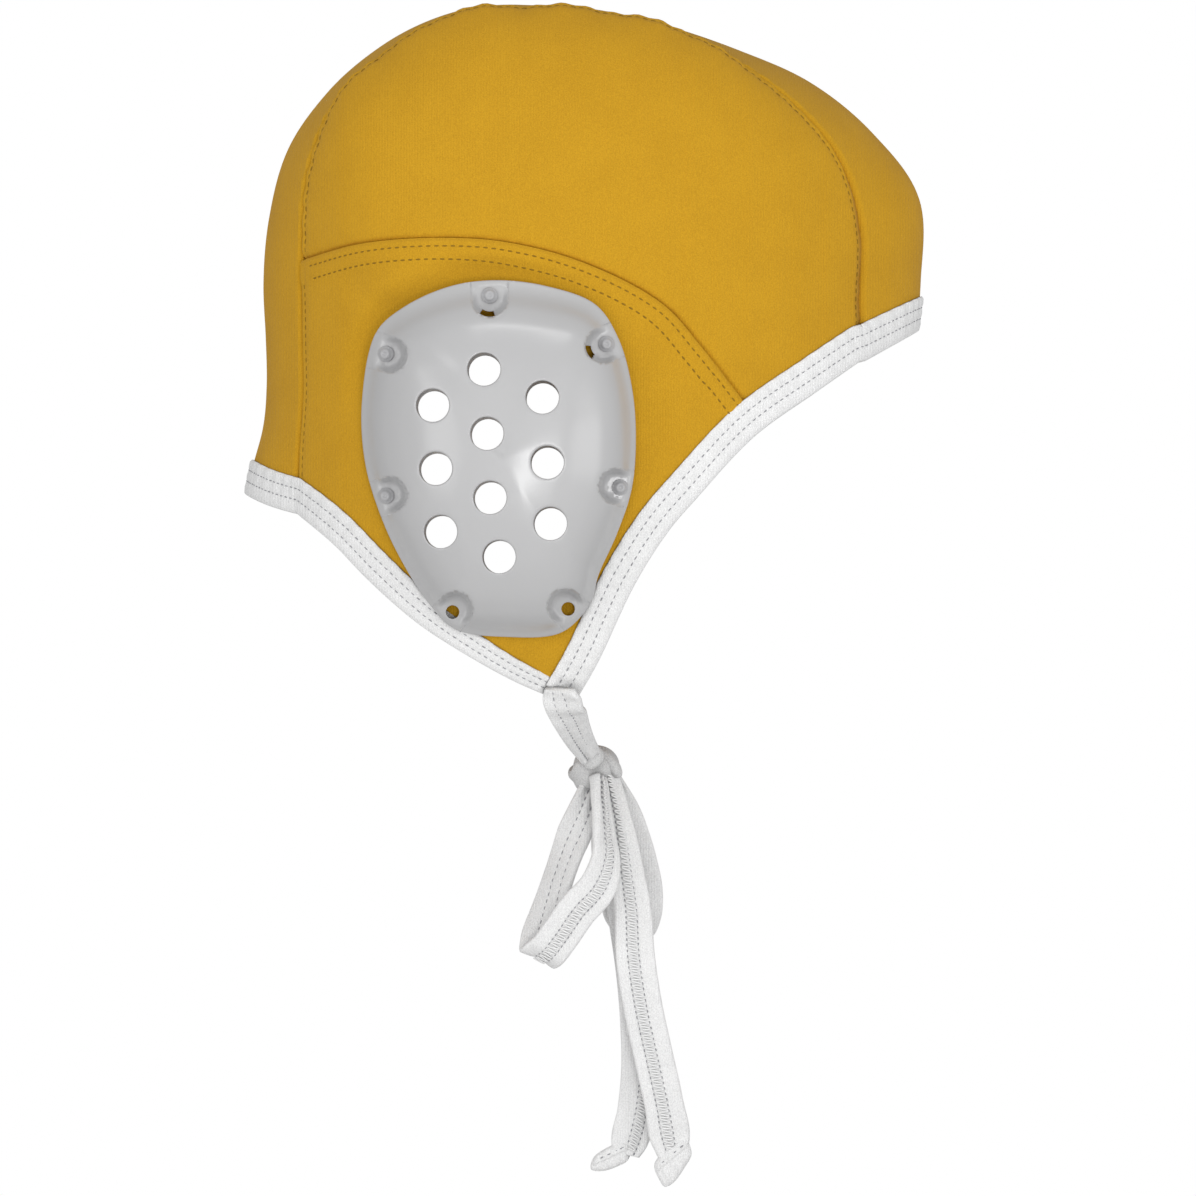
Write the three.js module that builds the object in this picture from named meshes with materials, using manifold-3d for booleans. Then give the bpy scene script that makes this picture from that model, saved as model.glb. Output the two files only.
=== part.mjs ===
// A water polo cap: knit panels with taped edges, a hard guard over each ear, and tape ties in a bow.
// Millimetres. +X is the wearer's front, +Z is up, and -Y is the wearer's right side.
// The origin is on the inside of the crown, where the cap sits on top of the head.
import * as THREE from "three";
import Module from "manifold-3d";

const wasm = await Module();
wasm.setup();

// Main sizes of the shell, from the middle of the ear outwards
const FRONT_REACH = 126; // to the brow
const BACK_REACH = 80; // to the nape
const CROWN_RISE = 132; // to the top of the crown
const FLAP_DROP = 100; // to where the flaps' curve would close under the jaw
const EAR_HALF_WIDTH = 78; // from the middle plane to the cloth beside the ear
const CENTRE_HALF_WIDTH = 36; // half the width of the centre panel
const SEAT_ANGLE = 85; // where the crown's highest point lies, in degrees from straight ahead

// Cloth and tape
const CLOTH = 1.6; // thickness of the doubled knit
const SEAM_GAP = 0.3; // between two pieces that meet
const CROWN_SEAM_GAP = 0.5; // between the centre panel and the sides
const LINING_GAP = 0.7; // between the cloth and the tape's inner leaf
const TAPE_GAP = 0.5; // between the cloth and the tape's outer leaf
const TAPE_WIDTH = 11.5; // visible width of the folded tape
const TAPE_LEAF = 0.9; // thickness of one leaf of the tape
const TIE_THICKNESS = 2.2; // the tape folded and sewn together
const RIDGE_HEIGHT = 2.0; // how far the gathered edge of the side panel stands up
const RIDGE_WIDTH = 7; // how far the gathers run down the side panel
const RIDGE_LIMIT = 1.2; // where gathers meet, the most they stand up, as a share of RIDGE_HEIGHT

// Ear opening in the ear panel
const EAR_OPENING_WIDTH = 56;
const EAR_OPENING_HEIGHT = 80;
const EAR_OPENING_AHEAD = -7.5; // its middle from the middle of the ear
const EAR_OPENING_UP = -11;

// Ear guard
const GUARD_WIDTH = 85;
const GUARD_HEIGHT = 110;
const GUARD_AHEAD = -6.2; // the guard's middle from the middle of the ear
const GUARD_UP = -9.3;
const GUARD_WALL = 2.2;
const GUARD_DOME = 20; // height of the guard's middle over the cloth
const GUARD_HOLE_RADIUS = 5.1;
const RECESS_RADIUS = 5.4;
const RECESS_WALL = 1.5;
const LUG_FLOOR = 2.4; // thickness of the recess floor
const PIN_RADIUS = 1.8;
const PIN_CLEARANCE = 0.3;
const PIN_NUB_RADIUS = 2.5;
const PIN_NUB_HEIGHT = 1.8;
const PIN_HEAD_RADIUS = 4.2; // the flat head inside the cloth
const PIN_HEAD = 1.0;
const PIN_SLACK = 2.0; // between the cloth and the flat head, where the cloth curves away

// Bow
const KNOT_AHEAD = 23.5; // the knot's middle from the middle of the ear
const KNOT_DROP = 104.5;
const KNOT_WIDTH = 16;
const KNOT_DEPTH = 19;
const KNOT_HEIGHT = 15;
const KNOT_GROOVE = { depth: 0.1, slope: 0.6, place: 0.35, spread: 0.16 }; // shares of its half sizes
const KNOT_FLAT = { share: 0.08, turn: 0.6 };

// Colours
const KNIT = { color: 0xcb9d26, roughness: 0.85, metalness: 0 };
const WHITE_TAPE = { color: 0xf2f2f2, roughness: 0.8, metalness: 0 };
const GUARD_PLASTIC = { color: 0xd4d4d6, roughness: 0.25, metalness: 0 };
const PIN_PLASTIC = { color: 0xc4c4c6, roughness: 0.3, metalness: 0 };

// Sections of the shell round the ear: angle from straight ahead, upwards. The seam and the middle of the
// centre panel are shares of the base oval, and round is 1 where the side runs into the seam on one curve.
const SECTIONS = [
  { angle: -75, seam: 1.06, middle: 1.12, round: 1 },
  { angle: -45, seam: 0.94, middle: 1.03, round: 1 },
  { angle: -15, seam: 0.855, middle: 0.97, round: 1 },
  { angle: 8, seam: 0.86, middle: 0.972, round: 1 },
  { angle: 20, seam: 0.889, middle: 1.042, round: 1 },
  { angle: 30, seam: 0.961, middle: 1.12, round: 1 },
  { angle: 40, seam: 1.012, middle: 1.111, round: 0.6 },
  { angle: 50, seam: 1.019, middle: 1.083, round: 0.3 },
  { angle: 60, seam: 1.013, middle: 1.04, round: 0.08 },
  { angle: 70, seam: 1.003, middle: 1.014, round: 0 },
  { angle: 80, seam: 0.992, middle: 1.003, round: 0 },
  { angle: 90, seam: 0.984, middle: 0.997, round: 0 },
  { angle: 100, seam: 1.001, middle: 1.016, round: 0 },
  { angle: 110, seam: 1.022, middle: 1.05, round: 0.05 },
  { angle: 120, seam: 1.052, middle: 1.09, round: 0.12 },
  { angle: 130, seam: 1.024, middle: 1.116, round: 0.5 },
  { angle: 140, seam: 0.956, middle: 1.094, round: 1 },
  { angle: 150, seam: 0.903, middle: 1.056, round: 1 },
  { angle: 160, seam: 0.87, middle: 1.012, round: 1 },
  { angle: 170, seam: 0.852, middle: 0.99, round: 1 },
  { angle: 180, seam: 0.856, middle: 1.0, round: 1 },
  { angle: 190, seam: 0.873, middle: 1.058, round: 1 },
  { angle: 200, seam: 0.9, middle: 1.12, round: 1 },
  { angle: 225, seam: 1.03, middle: 1.25, round: 1 },
  { angle: 255, seam: 1.06, middle: 1.18, round: 1 },
];

// Gathers of the crown seam: where each peak lies, its height as a share of RIDGE_HEIGHT and its spread
const GATHERS = [
  { angle: 63, height: 0.75, spread: 4 },
  { angle: 72, height: 1.15, spread: 5 },
  { angle: 84, height: 1.15, spread: 5 },
  { angle: 95.5, height: 1.1, spread: 4.5 },
  { angle: 105, height: 0.8, spread: 5 },
  { angle: 115, height: 0.8, spread: 5 },
];

// The curved seam over the ear, front to back, as shares of the reaches and rises
const EAR_SEAM = [
  { ahead: 0.605, up: -0.005 },
  { ahead: 0.546, up: 0.066 },
  { ahead: 0.445, up: 0.19 },
  { ahead: 0.349, up: 0.291 },
  { ahead: 0.155, up: 0.388 },
  { ahead: -0.066, up: 0.437 },
  { ahead: -0.345, up: 0.446 },
  { ahead: -0.624, up: 0.432 },
  { ahead: -0.849, up: 0.395 },
];

// The cap's edge round the face, from the centre seam down to the flap's tip, in the same shares
const FACE_EDGE = [
  { ahead: 0.834, up: 0.157 },
  { ahead: 0.726, up: 0.085 },
  { ahead: 0.578, up: -0.022 },
  { ahead: 0.431, up: -0.22 },
  { ahead: 0.364, up: -0.319 },
  { ahead: 0.283, up: -0.48 },
  { ahead: 0.192, up: -0.722 },
  { ahead: 0.143, up: -0.831 },
];
const BROW_ANGLE = 13.7; // where that edge crosses the middle plane

// The cap's edge round the nape, from the centre seam to the flap's tip
const NAPE_EDGE = [
  { ahead: -0.864, up: -0.264 },
  { ahead: -0.717, up: -0.363 },
  { ahead: -0.601, up: -0.459 },
  { ahead: -0.484, up: -0.546 },
  { ahead: -0.368, up: -0.62 },
  { ahead: -0.136, up: -0.735 },
  { ahead: 0.035, up: -0.815 },
];
const NAPE_ANGLE = 193.7;
const NAPE_TAPER = 0.62; // how narrow the nape tape is where it runs under the face tape
const TAPER_SHARE = 0.25; // the share of the tape's length over which it narrows
const FLAP_CORNER = 0.97; // where the cloth's corner lies along the face edge, at the flap's tip

// Outline of the ear guard, clockwise from its top, in half widths and half heights from its middle
const GUARD_OUTLINE = [
  { ahead: -0.05, up: 1.0 },
  { ahead: 0.32, up: 0.97 },
  { ahead: 0.69, up: 0.865 },
  { ahead: 0.855, up: 0.68 },
  { ahead: 0.955, up: 0.405 },
  { ahead: 0.985, up: 0.12 },
  { ahead: 0.955, up: -0.17 },
  { ahead: 0.845, up: -0.427 },
  { ahead: 0.715, up: -0.65 },
  { ahead: 0.655, up: -0.81 },
  { ahead: 0.445, up: -0.975 },
  { ahead: 0.045, up: -1.0 },
  { ahead: -0.33, up: -0.955 },
  { ahead: -0.53, up: -0.8 },
  { ahead: -0.72, up: -0.567 },
  { ahead: -0.86, up: -0.337 },
  { ahead: -0.98, up: -0.03 },
  { ahead: -1.005, up: 0.32 },
  { ahead: -0.9, up: 0.71 },
  { ahead: -0.7, up: 0.85 },
  { ahead: -0.365, up: 0.966 },
];

// Rings of the guard's outer face: inset from its edge in millimetres, and height as a share of the dome
const GUARD_RINGS = [
  { inset: 0, rise: 0.17 },
  { inset: 1.6, rise: 0.25 },
  { inset: 4.2, rise: 0.52 },
  { inset: 7.0, rise: 0.68 },
  { inset: 13, rise: 0.83 },
  { inset: 24, rise: 0.95 },
];
const SKIRT_SPREAD_AT_TOP = 1.1; // how much wider the skirt is at the guard's top
const GUARD_FLOOR_INSETS = [0, 12]; // rings of its underside, in millimetres

// Round holes of the guard, in half widths and half heights from its middle
const GUARD_HOLES = [
  { ahead: -0.117, up: 0.5 },
  { ahead: -0.489, up: 0.298 },
  { ahead: 0.307, up: 0.343 },
  { ahead: -0.095, up: 0.14 },
  { ahead: -0.467, up: -0.056 },
  { ahead: 0.343, up: -0.022 },
  { ahead: -0.073, up: -0.219 },
  { ahead: -0.431, up: -0.41 },
  { ahead: 0.365, up: -0.365 },
  { ahead: -0.007, up: -0.551 },
];

// Fixing recesses of the guard, in the same shares. The two at the bottom are bare holes with no pin.
const RECESSES = [
  { ahead: -0.073, up: 0.91, pinned: true },
  { ahead: 0.766, up: 0.64, pinned: true },
  { ahead: 0.861, up: -0.157, pinned: true },
  { ahead: -0.8, up: -0.209, pinned: true },
  { ahead: -0.8, up: 0.588, pinned: true },
  { ahead: 0.489, up: -0.831, pinned: false },
  { ahead: -0.336, up: -0.848, pinned: false },
];

// Routes of the tape, as chosen, in millimetres from the middle of the ear: turn is the direction of the
// tape's width round the vertical, in degrees from straight ahead, and tilt is its slope upwards. Width is
// the share of its full width where the knot gathers it. A cut row is a slanted end.
const CHIN_TIE = [
  { ahead: 12.6, side: -60, up: -82.5, turn: 0, tilt: -34 },
  { ahead: 13.4, side: -57.6, up: -86, turn: 0, tilt: -12 },
  { ahead: 14.8, side: -52.0, up: -88.6, turn: 4, tilt: 10, width: 0.94 },
  { ahead: 16.6, side: -42.5, up: -92.6, turn: 6, tilt: 24, width: 0.82 },
  { ahead: 18.6, side: -30.5, up: -96.6, turn: 8, tilt: 30, width: 0.7 },
  { ahead: 20.6, side: -19.5, up: -99.8, turn: 8, tilt: 32, width: 0.6 },
  { ahead: 21.9, side: -10, up: -102, turn: 6, tilt: 32, width: 0.52 },
];
const BOW_LOOP_NEAR = [
  { ahead: 22, side: -4.2, up: -111.2, turn: 0, tilt: -12, width: 0.6 },
  { ahead: 18.9, side: -5.4, up: -119.6, turn: 0, tilt: -16, width: 0.8 },
  { ahead: 14.8, side: -5, up: -130.2, turn: -40, tilt: -18, width: 1 },
  { ahead: 11.1, side: -5.6, up: -141, turn: -44, tilt: -19, width: 1 },
  { ahead: 8.2, side: -7.1, up: -151, turn: -26, tilt: -20, width: 1 },
  { ahead: 5.9, side: -9.6, up: -158.8, turn: 0, tilt: -23, width: 1 },
  { ahead: 5.6, side: -13.2, up: -163, turn: 0, tilt: -27, width: 1 },
  { ahead: 8, side: -16.8, up: -162, turn: 0, tilt: -34, width: 1 },
  { ahead: 12, side: -18.8, up: -157, turn: 0, tilt: -40, width: 1 },
  { ahead: 17.4, side: -19.9, up: -149.2, turn: 0, tilt: -38, width: 1 },
  { ahead: 23.9, side: -20.2, up: -141.6, turn: 10, tilt: -30, width: 0.97 },
  { ahead: 26.4, side: -19.2, up: -133, turn: 34, tilt: -18, width: 0.86 },
  { ahead: 25.8, side: -16.8, up: -125.2, turn: 50, tilt: -6, width: 0.75 },
  { ahead: 25, side: -13.8, up: -117.6, turn: 60, tilt: 2, width: 0.62 },
  { ahead: 24.3, side: -10.4, up: -111.2, turn: 60, tilt: 2, width: 0.5 },
];
const BOW_LOOP_FAR = [
  { ahead: 28.6, side: 5, up: -110.5, turn: 0, tilt: 14, width: 0.6 },
  { ahead: 32, side: 6.8, up: -119, turn: 0, tilt: 16, width: 0.85 },
  { ahead: 34.3, side: 7.8, up: -127.6, turn: 0, tilt: 17, width: 1 },
  { ahead: 36.6, side: 8.4, up: -135.8, turn: 0, tilt: 14, width: 1 },
  { ahead: 38, side: 9, up: -143.5, turn: 0, tilt: 10, width: 1 },
  { ahead: 37.6, side: 10.4, up: -150.4, turn: 0, tilt: 2, width: 1 },
  { ahead: 35.6, side: 13.8, up: -154.6, turn: 0, tilt: -10, width: 1 },
  { ahead: 32.4, side: 17.6, up: -151.2, turn: 0, tilt: -2, width: 1 },
  { ahead: 30, side: 19.4, up: -143.4, turn: 0, tilt: 8, width: 1 },
  { ahead: 28.3, side: 18.6, up: -133.8, turn: 0, tilt: 10, width: 1 },
  { ahead: 26.9, side: 15.6, up: -124, turn: 0, tilt: 8, width: 0.85 },
  { ahead: 25.4, side: 12.2, up: -116, turn: 0, tilt: 6, width: 0.6 },
  { ahead: 24.4, side: 10.2, up: -111.4, turn: 0, tilt: 6, width: 0.5 },
];
const TIE_TAIL_NEAR = [
  { ahead: 27.7, side: -5.4, up: -110.1, turn: 20, tilt: 0, width: 0.58 },
  { ahead: 29.4, side: -7.4, up: -116.5, turn: 20, tilt: 0, width: 0.62 },
  { ahead: 31.4, side: -9.4, up: -126, turn: 16, tilt: 8, width: 0.74 },
  { ahead: 33, side: -10.6, up: -137, turn: 12, tilt: 8, width: 0.86 },
  { ahead: 34.7, side: -11.2, up: -149, turn: 8, tilt: 8, width: 0.96 },
  { ahead: 35.5, side: -10.8, up: -163, turn: 4, tilt: 9, width: 1 },
  { ahead: 37.7, side: -10, up: -178, turn: 0, tilt: 11, width: 1 },
  { ahead: 40.9, side: -9, up: -193, turn: 0, tilt: 12, width: 1 },
  { ahead: 44.2, side: -8.2, up: -208, turn: 0, tilt: 12, width: 1 },
  { ahead: 46.8, side: -8, up: -222.2, turn: 0, tilt: 37, width: 0.9, cut: true },
];
const TIE_TAIL_FAR = [
  { ahead: 25.6, side: 1, up: -112, turn: 0, tilt: 0, width: 0.5 },
  { ahead: 27.6, side: 0.8, up: -120, turn: 0, tilt: 4, width: 0.65 },
  { ahead: 30.4, side: 0.8, up: -135, turn: 0, tilt: 8, width: 0.9 },
  { ahead: 33.2, side: 0.8, up: -151, turn: 0, tilt: 8, width: 1 },
  { ahead: 35.6, side: 0.8, up: -168, turn: 0, tilt: 6, width: 1 },
  { ahead: 37, side: 0.8, up: -185, turn: 0, tilt: 3, width: 1 },
  { ahead: 37.2, side: 0.8, up: -200, turn: 0, tilt: -2, width: 1 },
  { ahead: 36, side: 1, up: -211.5, turn: -8, tilt: -12, width: 1 },
  { ahead: 33.2, side: 1.6, up: -222.6, turn: 0, tilt: -12, width: 0.85, cut: true },
];
// Tips: outline points in the plane of the tape, as chosen, in millimetres from the middle of the ear
const TIP_NEAR = {
  side: -8,
  thickness: 4.2,
  points: [
    [42.6, -226.1],
    [51.5, -219.4],
    [53, -223.5],
    [51.4, -228.2],
    [47.6, -233.4],
    [44.6, -234.8],
    [43, -233.2],
    [41.6, -228.6],
  ],
};
const TIP_FAR = {
  side: 1.8,
  thickness: 4.2,
  points: [
    [28.6, -222.6],
    [33.5, -223.7],
    [36, -224.8],
    [33.4, -227.4],
    [30, -228.8],
    [25, -230],
    [21.8, -229.8],
    [22.8, -225.6],
  ],
};

// Mesh densities
const SEAM_COLUMNS = 16; // shared by the two panels that meet at the curved seam
const EAR_COLUMNS = { back: 5, nape: 9, face: 10 };
const EAR_ROWS = 3;
const SEAM_CORNER_STEP = 1.2; // degrees between a seam's end and the next point of the panel's edge
const UPPER_ROWS = 6;
const CENTRE_COLUMNS = 24;
const CENTRE_ROWS = 6;
const BINDING_STATIONS = 38;
const GUARD_COLUMNS = 28;
const ROUND_SIDES = 10;
const PIN_SIDES = 7;
const KNOT_SIDES = 14;
const KNOT_RINGS = 10;
const EDGE_SAMPLES = 60; // along half of a taped edge, before its stations are spaced evenly
const JUNCTION_SAMPLES = 100;

const radians = THREE.MathUtils.degToRad;
const lerp = THREE.MathUtils.lerp;
const vec = (x, y, z) => new THREE.Vector3(x, y, z);

// Smooth value of one column of SECTIONS at an angle in degrees, going round past the ends of the table
function sectionValue(angle, column) {
  const count = SECTIONS.length;
  const first = SECTIONS[0].angle;
  const turned = first + ((((angle - first) % 360) + 360) % 360);
  let at = count - 1;
  while (SECTIONS[at].angle > turned) at -= 1;
  const row = (i) => SECTIONS[(i + count) % count];
  const angleOf = (i) => row(i).angle + 360 * Math.floor(i / count);
  const slope = (i) =>
    (row(i + 1)[column] - row(i - 1)[column]) / (angleOf(i + 1) - angleOf(i - 1));
  const span = angleOf(at + 1) - angleOf(at);
  const s = (turned - angleOf(at)) / span;
  const rise = s * s * (3 - 2 * s);
  return (
    lerp(row(at)[column], row(at + 1)[column], rise) +
    span * slope(at) * s * (1 - s) * (1 - s) -
    span * slope(at + 1) * s * s * (1 - s)
  );
}

// Radius of the base oval round the ear at an angle
function baseRadius(angle) {
  const c = Math.cos(radians(angle));
  const s = Math.sin(radians(angle));
  const reach = c > 0 ? FRONT_REACH : BACK_REACH;
  const rise = s > 0 ? CROWN_RISE : FLAP_DROP;
  return 1 / Math.hypot(c / reach, s / rise);
}

const seatRadius = baseRadius(SEAT_ANGLE) * sectionValue(SEAT_ANGLE, "middle");
const EAR = vec(
  -seatRadius * Math.cos(radians(SEAT_ANGLE)),
  0,
  CLOTH - seatRadius * Math.sin(radians(SEAT_ANGLE)),
);

// How far the gathered ridge stands up along the crown seam
function gather(angle) {
  let height = 0;
  for (const g of GATHERS) height += g.height * Math.exp(-(((angle - g.angle) / g.spread) ** 2));
  return RIDGE_HEIGHT * Math.min(height, RIDGE_LIMIT);
}

// The shell's surface: across is 0 on the middle plane, 1 at the centre seam and 2 at the middle of the ear,
// and negative on the wearer's right.
const WIDTH_SHARE = CENTRE_HALF_WIDTH / EAR_HALF_WIDTH;
const ROUND_SCALE = Math.sqrt(1 - WIDTH_SHARE * WIDTH_SHARE);

function sideShare(t, round) {
  return lerp(Math.sin((t * Math.PI) / 2), t, round);
}

function surface(angle, across) {
  const seam = baseRadius(angle) * sectionValue(angle, "seam");
  const out = Math.abs(across);
  let radius;
  let width;
  if (out <= 1) {
    const middle = baseRadius(angle) * sectionValue(angle, "middle");
    radius = lerp(middle, seam, out * out);
    width = CENTRE_HALF_WIDTH * out;
  } else {
    const t = 2 - out;
    const round = THREE.MathUtils.clamp(sectionValue(angle, "round"), 0, 1);
    const flat = lerp(CENTRE_HALF_WIDTH, EAR_HALF_WIDTH, Math.cos((t * Math.PI) / 2));
    const curved = EAR_HALF_WIDTH * Math.sqrt(1 - (ROUND_SCALE * t) ** 2);
    radius = seam * sideShare(t, round);
    width = lerp(flat, curved, round);
  }
  return vec(
    EAR.x + radius * Math.cos(radians(angle)),
    Math.sign(across) * width,
    EAR.z + radius * Math.sin(radians(angle)),
  );
}

// Outward direction of the shell, taken over a few millimetres so that it turns smoothly over a seam
const NORMAL_STEP = { angle: 1.5, across: 0.04 };
const PROBE_STEP = { angle: 0.2, across: 0.004 }; // for the shell's directions at a point

function outward(angle, across) {
  const along = surface(angle + NORMAL_STEP.angle, across).sub(surface(angle - NORMAL_STEP.angle, across));
  const over = surface(angle, across + NORMAL_STEP.across).sub(surface(angle, across - NORMAL_STEP.across));
  const normal = along.cross(over).normalize();
  const fromCore = surface(angle, across).sub(EAR);
  return normal.dot(fromCore) < 0 ? normal.negate() : normal;
}

// Point at a height over the shell's outer face
function lifted(angle, across, height) {
  return surface(angle, across).addScaledVector(outward(angle, across), height);
}

// Side view place, in millimetres ahead and up of the ear, to the shell's angle and across on the right side
function placeToShell(ahead, up) {
  const angle = THREE.MathUtils.radToDeg(Math.atan2(up, ahead));
  const wanted = Math.hypot(ahead, up) / (baseRadius(angle) * sectionValue(angle, "seam"));
  const round = THREE.MathUtils.clamp(sectionValue(angle, "round"), 0, 1);
  let low = 0;
  let high = 1;
  for (let i = 0; i < 40; i += 1) {
    const t = (low + high) / 2;
    if (sideShare(t, round) < wanted) low = t;
    else high = t;
  }
  return { angle: angle < SECTIONS[0].angle ? angle + 360 : angle, across: (low + high) / 2 - 2 };
}

// Height of the shell's outer face over the middle plane at a side view place
function sideWidth(ahead, up) {
  const { angle, across } = placeToShell(ahead, up);
  return Math.abs(surface(angle, across).y);
}

// Rows of shares to millimetres ahead and up of the ear
function sharePlace(row) {
  return vec(
    row.ahead * (row.ahead > 0 ? FRONT_REACH : BACK_REACH),
    0,
    row.up * (row.up > 0 ? CROWN_RISE : FLAP_DROP),
  );
}

function shareCurve(rows) {
  return new THREE.CatmullRomCurve3(rows.map(sharePlace), false, "centripetal");
}

const earSeam = shareCurve(EAR_SEAM);
const faceEdge = shareCurve(FACE_EDGE);
const napeEdge = shareCurve(NAPE_EDGE);

// A mesh from corners and triangles, turned so that its faces point out
function closedGeometry(points, triangles) {
  let volume = 0;
  for (const [a, b, c] of triangles) volume += points[a].dot(points[b].clone().cross(points[c]));
  const faces = volume < 0 ? triangles.map(([a, b, c]) => [a, c, b]) : triangles;
  const geometry = new THREE.BufferGeometry();
  geometry.setAttribute(
    "position",
    new THREE.Float32BufferAttribute(points.flatMap((p) => [p.x, p.y, p.z]), 3),
  );
  geometry.setIndex(faces.flat());
  return geometry;
}

// The two triangles of a four-sided face, split along its shorter diagonal
function splitQuad(points, a, b, c, d) {
  const straight = points[a].distanceTo(points[c]) <= points[b].distanceTo(points[d]);
  return straight
    ? [
        [a, b, c],
        [a, c, d],
      ]
    : [
        [b, c, d],
        [b, d, a],
      ];
}

// A closed wall between two grids of points, both as lists of columns. A ring joins its last column to its
// first.
function wall(outer, inner, ring = false) {
  const columns = outer.length;
  const rows = outer[0].length;
  const points = [...outer.flat(), ...inner.flat()];
  const triangles = [];
  const o = (i, j) => (i % columns) * rows + j;
  const n = (i, j) => o(i, j) + columns * rows;
  const quad = (...corners) => triangles.push(...splitQuad(points, ...corners));
  for (let i = 0; i < (ring ? columns : columns - 1); i += 1) {
    for (let j = 0; j < rows - 1; j += 1) {
      quad(o(i, j), o(i + 1, j), o(i + 1, j + 1), o(i, j + 1));
      quad(n(i, j), n(i, j + 1), n(i + 1, j + 1), n(i + 1, j));
    }
    quad(o(i, 0), n(i, 0), n(i + 1, 0), o(i + 1, 0));
    quad(o(i, rows - 1), o(i + 1, rows - 1), n(i + 1, rows - 1), n(i, rows - 1));
  }
  if (!ring) {
    for (let j = 0; j < rows - 1; j += 1) {
      quad(o(0, j), o(0, j + 1), n(0, j + 1), n(0, j));
      quad(o(columns - 1, j), n(columns - 1, j), n(columns - 1, j + 1), o(columns - 1, j + 1));
    }
  }
  return closedGeometry(points, triangles);
}

// A solid lofted through closed sections of equal count, with flat ends
function loft(sections, flatOutline) {
  const count = sections[0].length;
  const points = sections.flat();
  const triangles = [];
  for (let i = 0; i < sections.length - 1; i += 1) {
    for (let j = 0; j < count; j += 1) {
      const a = i * count + j;
      const b = i * count + ((j + 1) % count);
      triangles.push(...splitQuad(points, a, b, b + count, a + count));
    }
  }
  const last = (sections.length - 1) * count;
  const clockwise = THREE.ShapeUtils.isClockWise(flatOutline);
  for (const [a, p, q] of THREE.ShapeUtils.triangulateShape(flatOutline, [])) {
    const [b, c] = clockwise ? [q, p] : [p, q];
    triangles.push([a, c, b], [last + a, last + b, last + c]);
  }
  return closedGeometry(points, triangles);
}

function toSolid(geometry) {
  return new wasm.Manifold(
    new wasm.Mesh({
      numProp: 3,
      vertProperties: new Float32Array(geometry.getAttribute("position").array),
      triVerts: new Uint32Array(geometry.index.array),
    }),
  );
}

function toGeometry(solid) {
  const mesh = solid.getMesh();
  const geometry = new THREE.BufferGeometry();
  geometry.setAttribute("position", new THREE.Float32BufferAttribute(mesh.vertProperties, 3));
  geometry.setIndex([...mesh.triVerts]);
  return geometry;
}

// A turned solid on an axis, through rings of [radius, distance along the axis]
function turned({ origin, axis }, rings, sides = ROUND_SIDES) {
  const wide = vec(1, 0, 0).addScaledVector(axis, -axis.x).normalize();
  const deep = axis.clone().cross(wide);
  const angles = Array.from({ length: sides }, (_, i) => (2 * Math.PI * (i + 0.5)) / sides);
  const sections = rings.map(([radius, along]) =>
    angles.map((a) =>
      origin
        .clone()
        .addScaledVector(axis, along)
        .addScaledVector(wide, radius * Math.cos(a))
        .addScaledVector(deep, radius * Math.sin(a)),
    ),
  );
  return loft(
    sections,
    angles.map((a) => new THREE.Vector2(Math.cos(a), Math.sin(a))),
  );
}

// Axes at a side view place on the wearer's right: one straight out sideways from the middle plane, and one
// that starts on the cloth's outer face and points halfway between sideways and square to the cloth
function sidewaysAxis({ ahead, up }) {
  return { origin: vec(EAR.x + ahead, 0, EAR.z + up), axis: vec(0, -1, 0) };
}

function postAxis({ ahead, up }) {
  const { angle, across } = placeToShell(ahead, up);
  const axis = outward(angle, across).add(vec(0, -1, 0)).normalize();
  return { origin: surface(angle, across), axis };
}

// The other side's copy of a piece made on the wearer's right
function mirrored(geometry) {
  const copy = geometry.clone();
  const position = copy.getAttribute("position");
  for (let i = 0; i < position.count; i += 1) position.setY(i, -position.getY(i));
  const index = copy.index.array;
  for (let i = 0; i < index.length; i += 3) [index[i + 1], index[i + 2]] = [index[i + 2], index[i + 1]];
  return copy;
}

// The across that lies a distance further towards the wearer's left
function stepAcross(angle, across, distance) {
  const after = surface(angle, across + PROBE_STEP.across);
  const before = surface(angle, across - PROBE_STEP.across);
  return across + (distance * 2 * PROBE_STEP.across) / after.distanceTo(before);
}

// The cloth stops short of the cap's edge, inside the fold of the tape
const EDGE_INSET = TAPE_LEAF + 3 * SEAM_GAP;

// A side view curve moved to its left or right by a distance
function offsetCurvePoint(curve, u, distance) {
  const point = curve.getPoint(u);
  const tangent = curve.getTangent(u);
  return vec(point.x - tangent.z * distance, 0, point.z + tangent.x * distance);
}

const shellPlace = (p) => placeToShell(p.x, p.z);

// The side panel's edge along the centre seam, on the right side
const seamSide = (angle) => {
  const beside = -1 - 2 * PROBE_STEP.across;
  return -1 - (stepAcross(angle, beside, CROWN_SEAM_GAP / 2) - beside);
};

// Where the cloth's front and back edges cross the centre panel: an angle for each across
function edgeAngle(edge, middleAngle, across) {
  const corner = edge.getPoint(0);
  const seamAngle = THREE.MathUtils.radToDeg(Math.atan2(corner.z, corner.x));
  const turned = seamAngle < SECTIONS[0].angle ? seamAngle + 360 : seamAngle;
  return lerp(middleAngle, turned, across * across);
}

const insetDegrees = (angle, across) =>
  EDGE_INSET / surface(angle + 0.5, across).distanceTo(surface(angle - 0.5, across));
const browAngle = (across) => {
  const angle = edgeAngle(faceEdge, BROW_ANGLE, across);
  return angle + insetDegrees(angle, across);
};
const napeAngle = (across) => {
  const angle = edgeAngle(napeEdge, NAPE_ANGLE, across);
  return angle - insetDegrees(angle, across);
};

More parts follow.
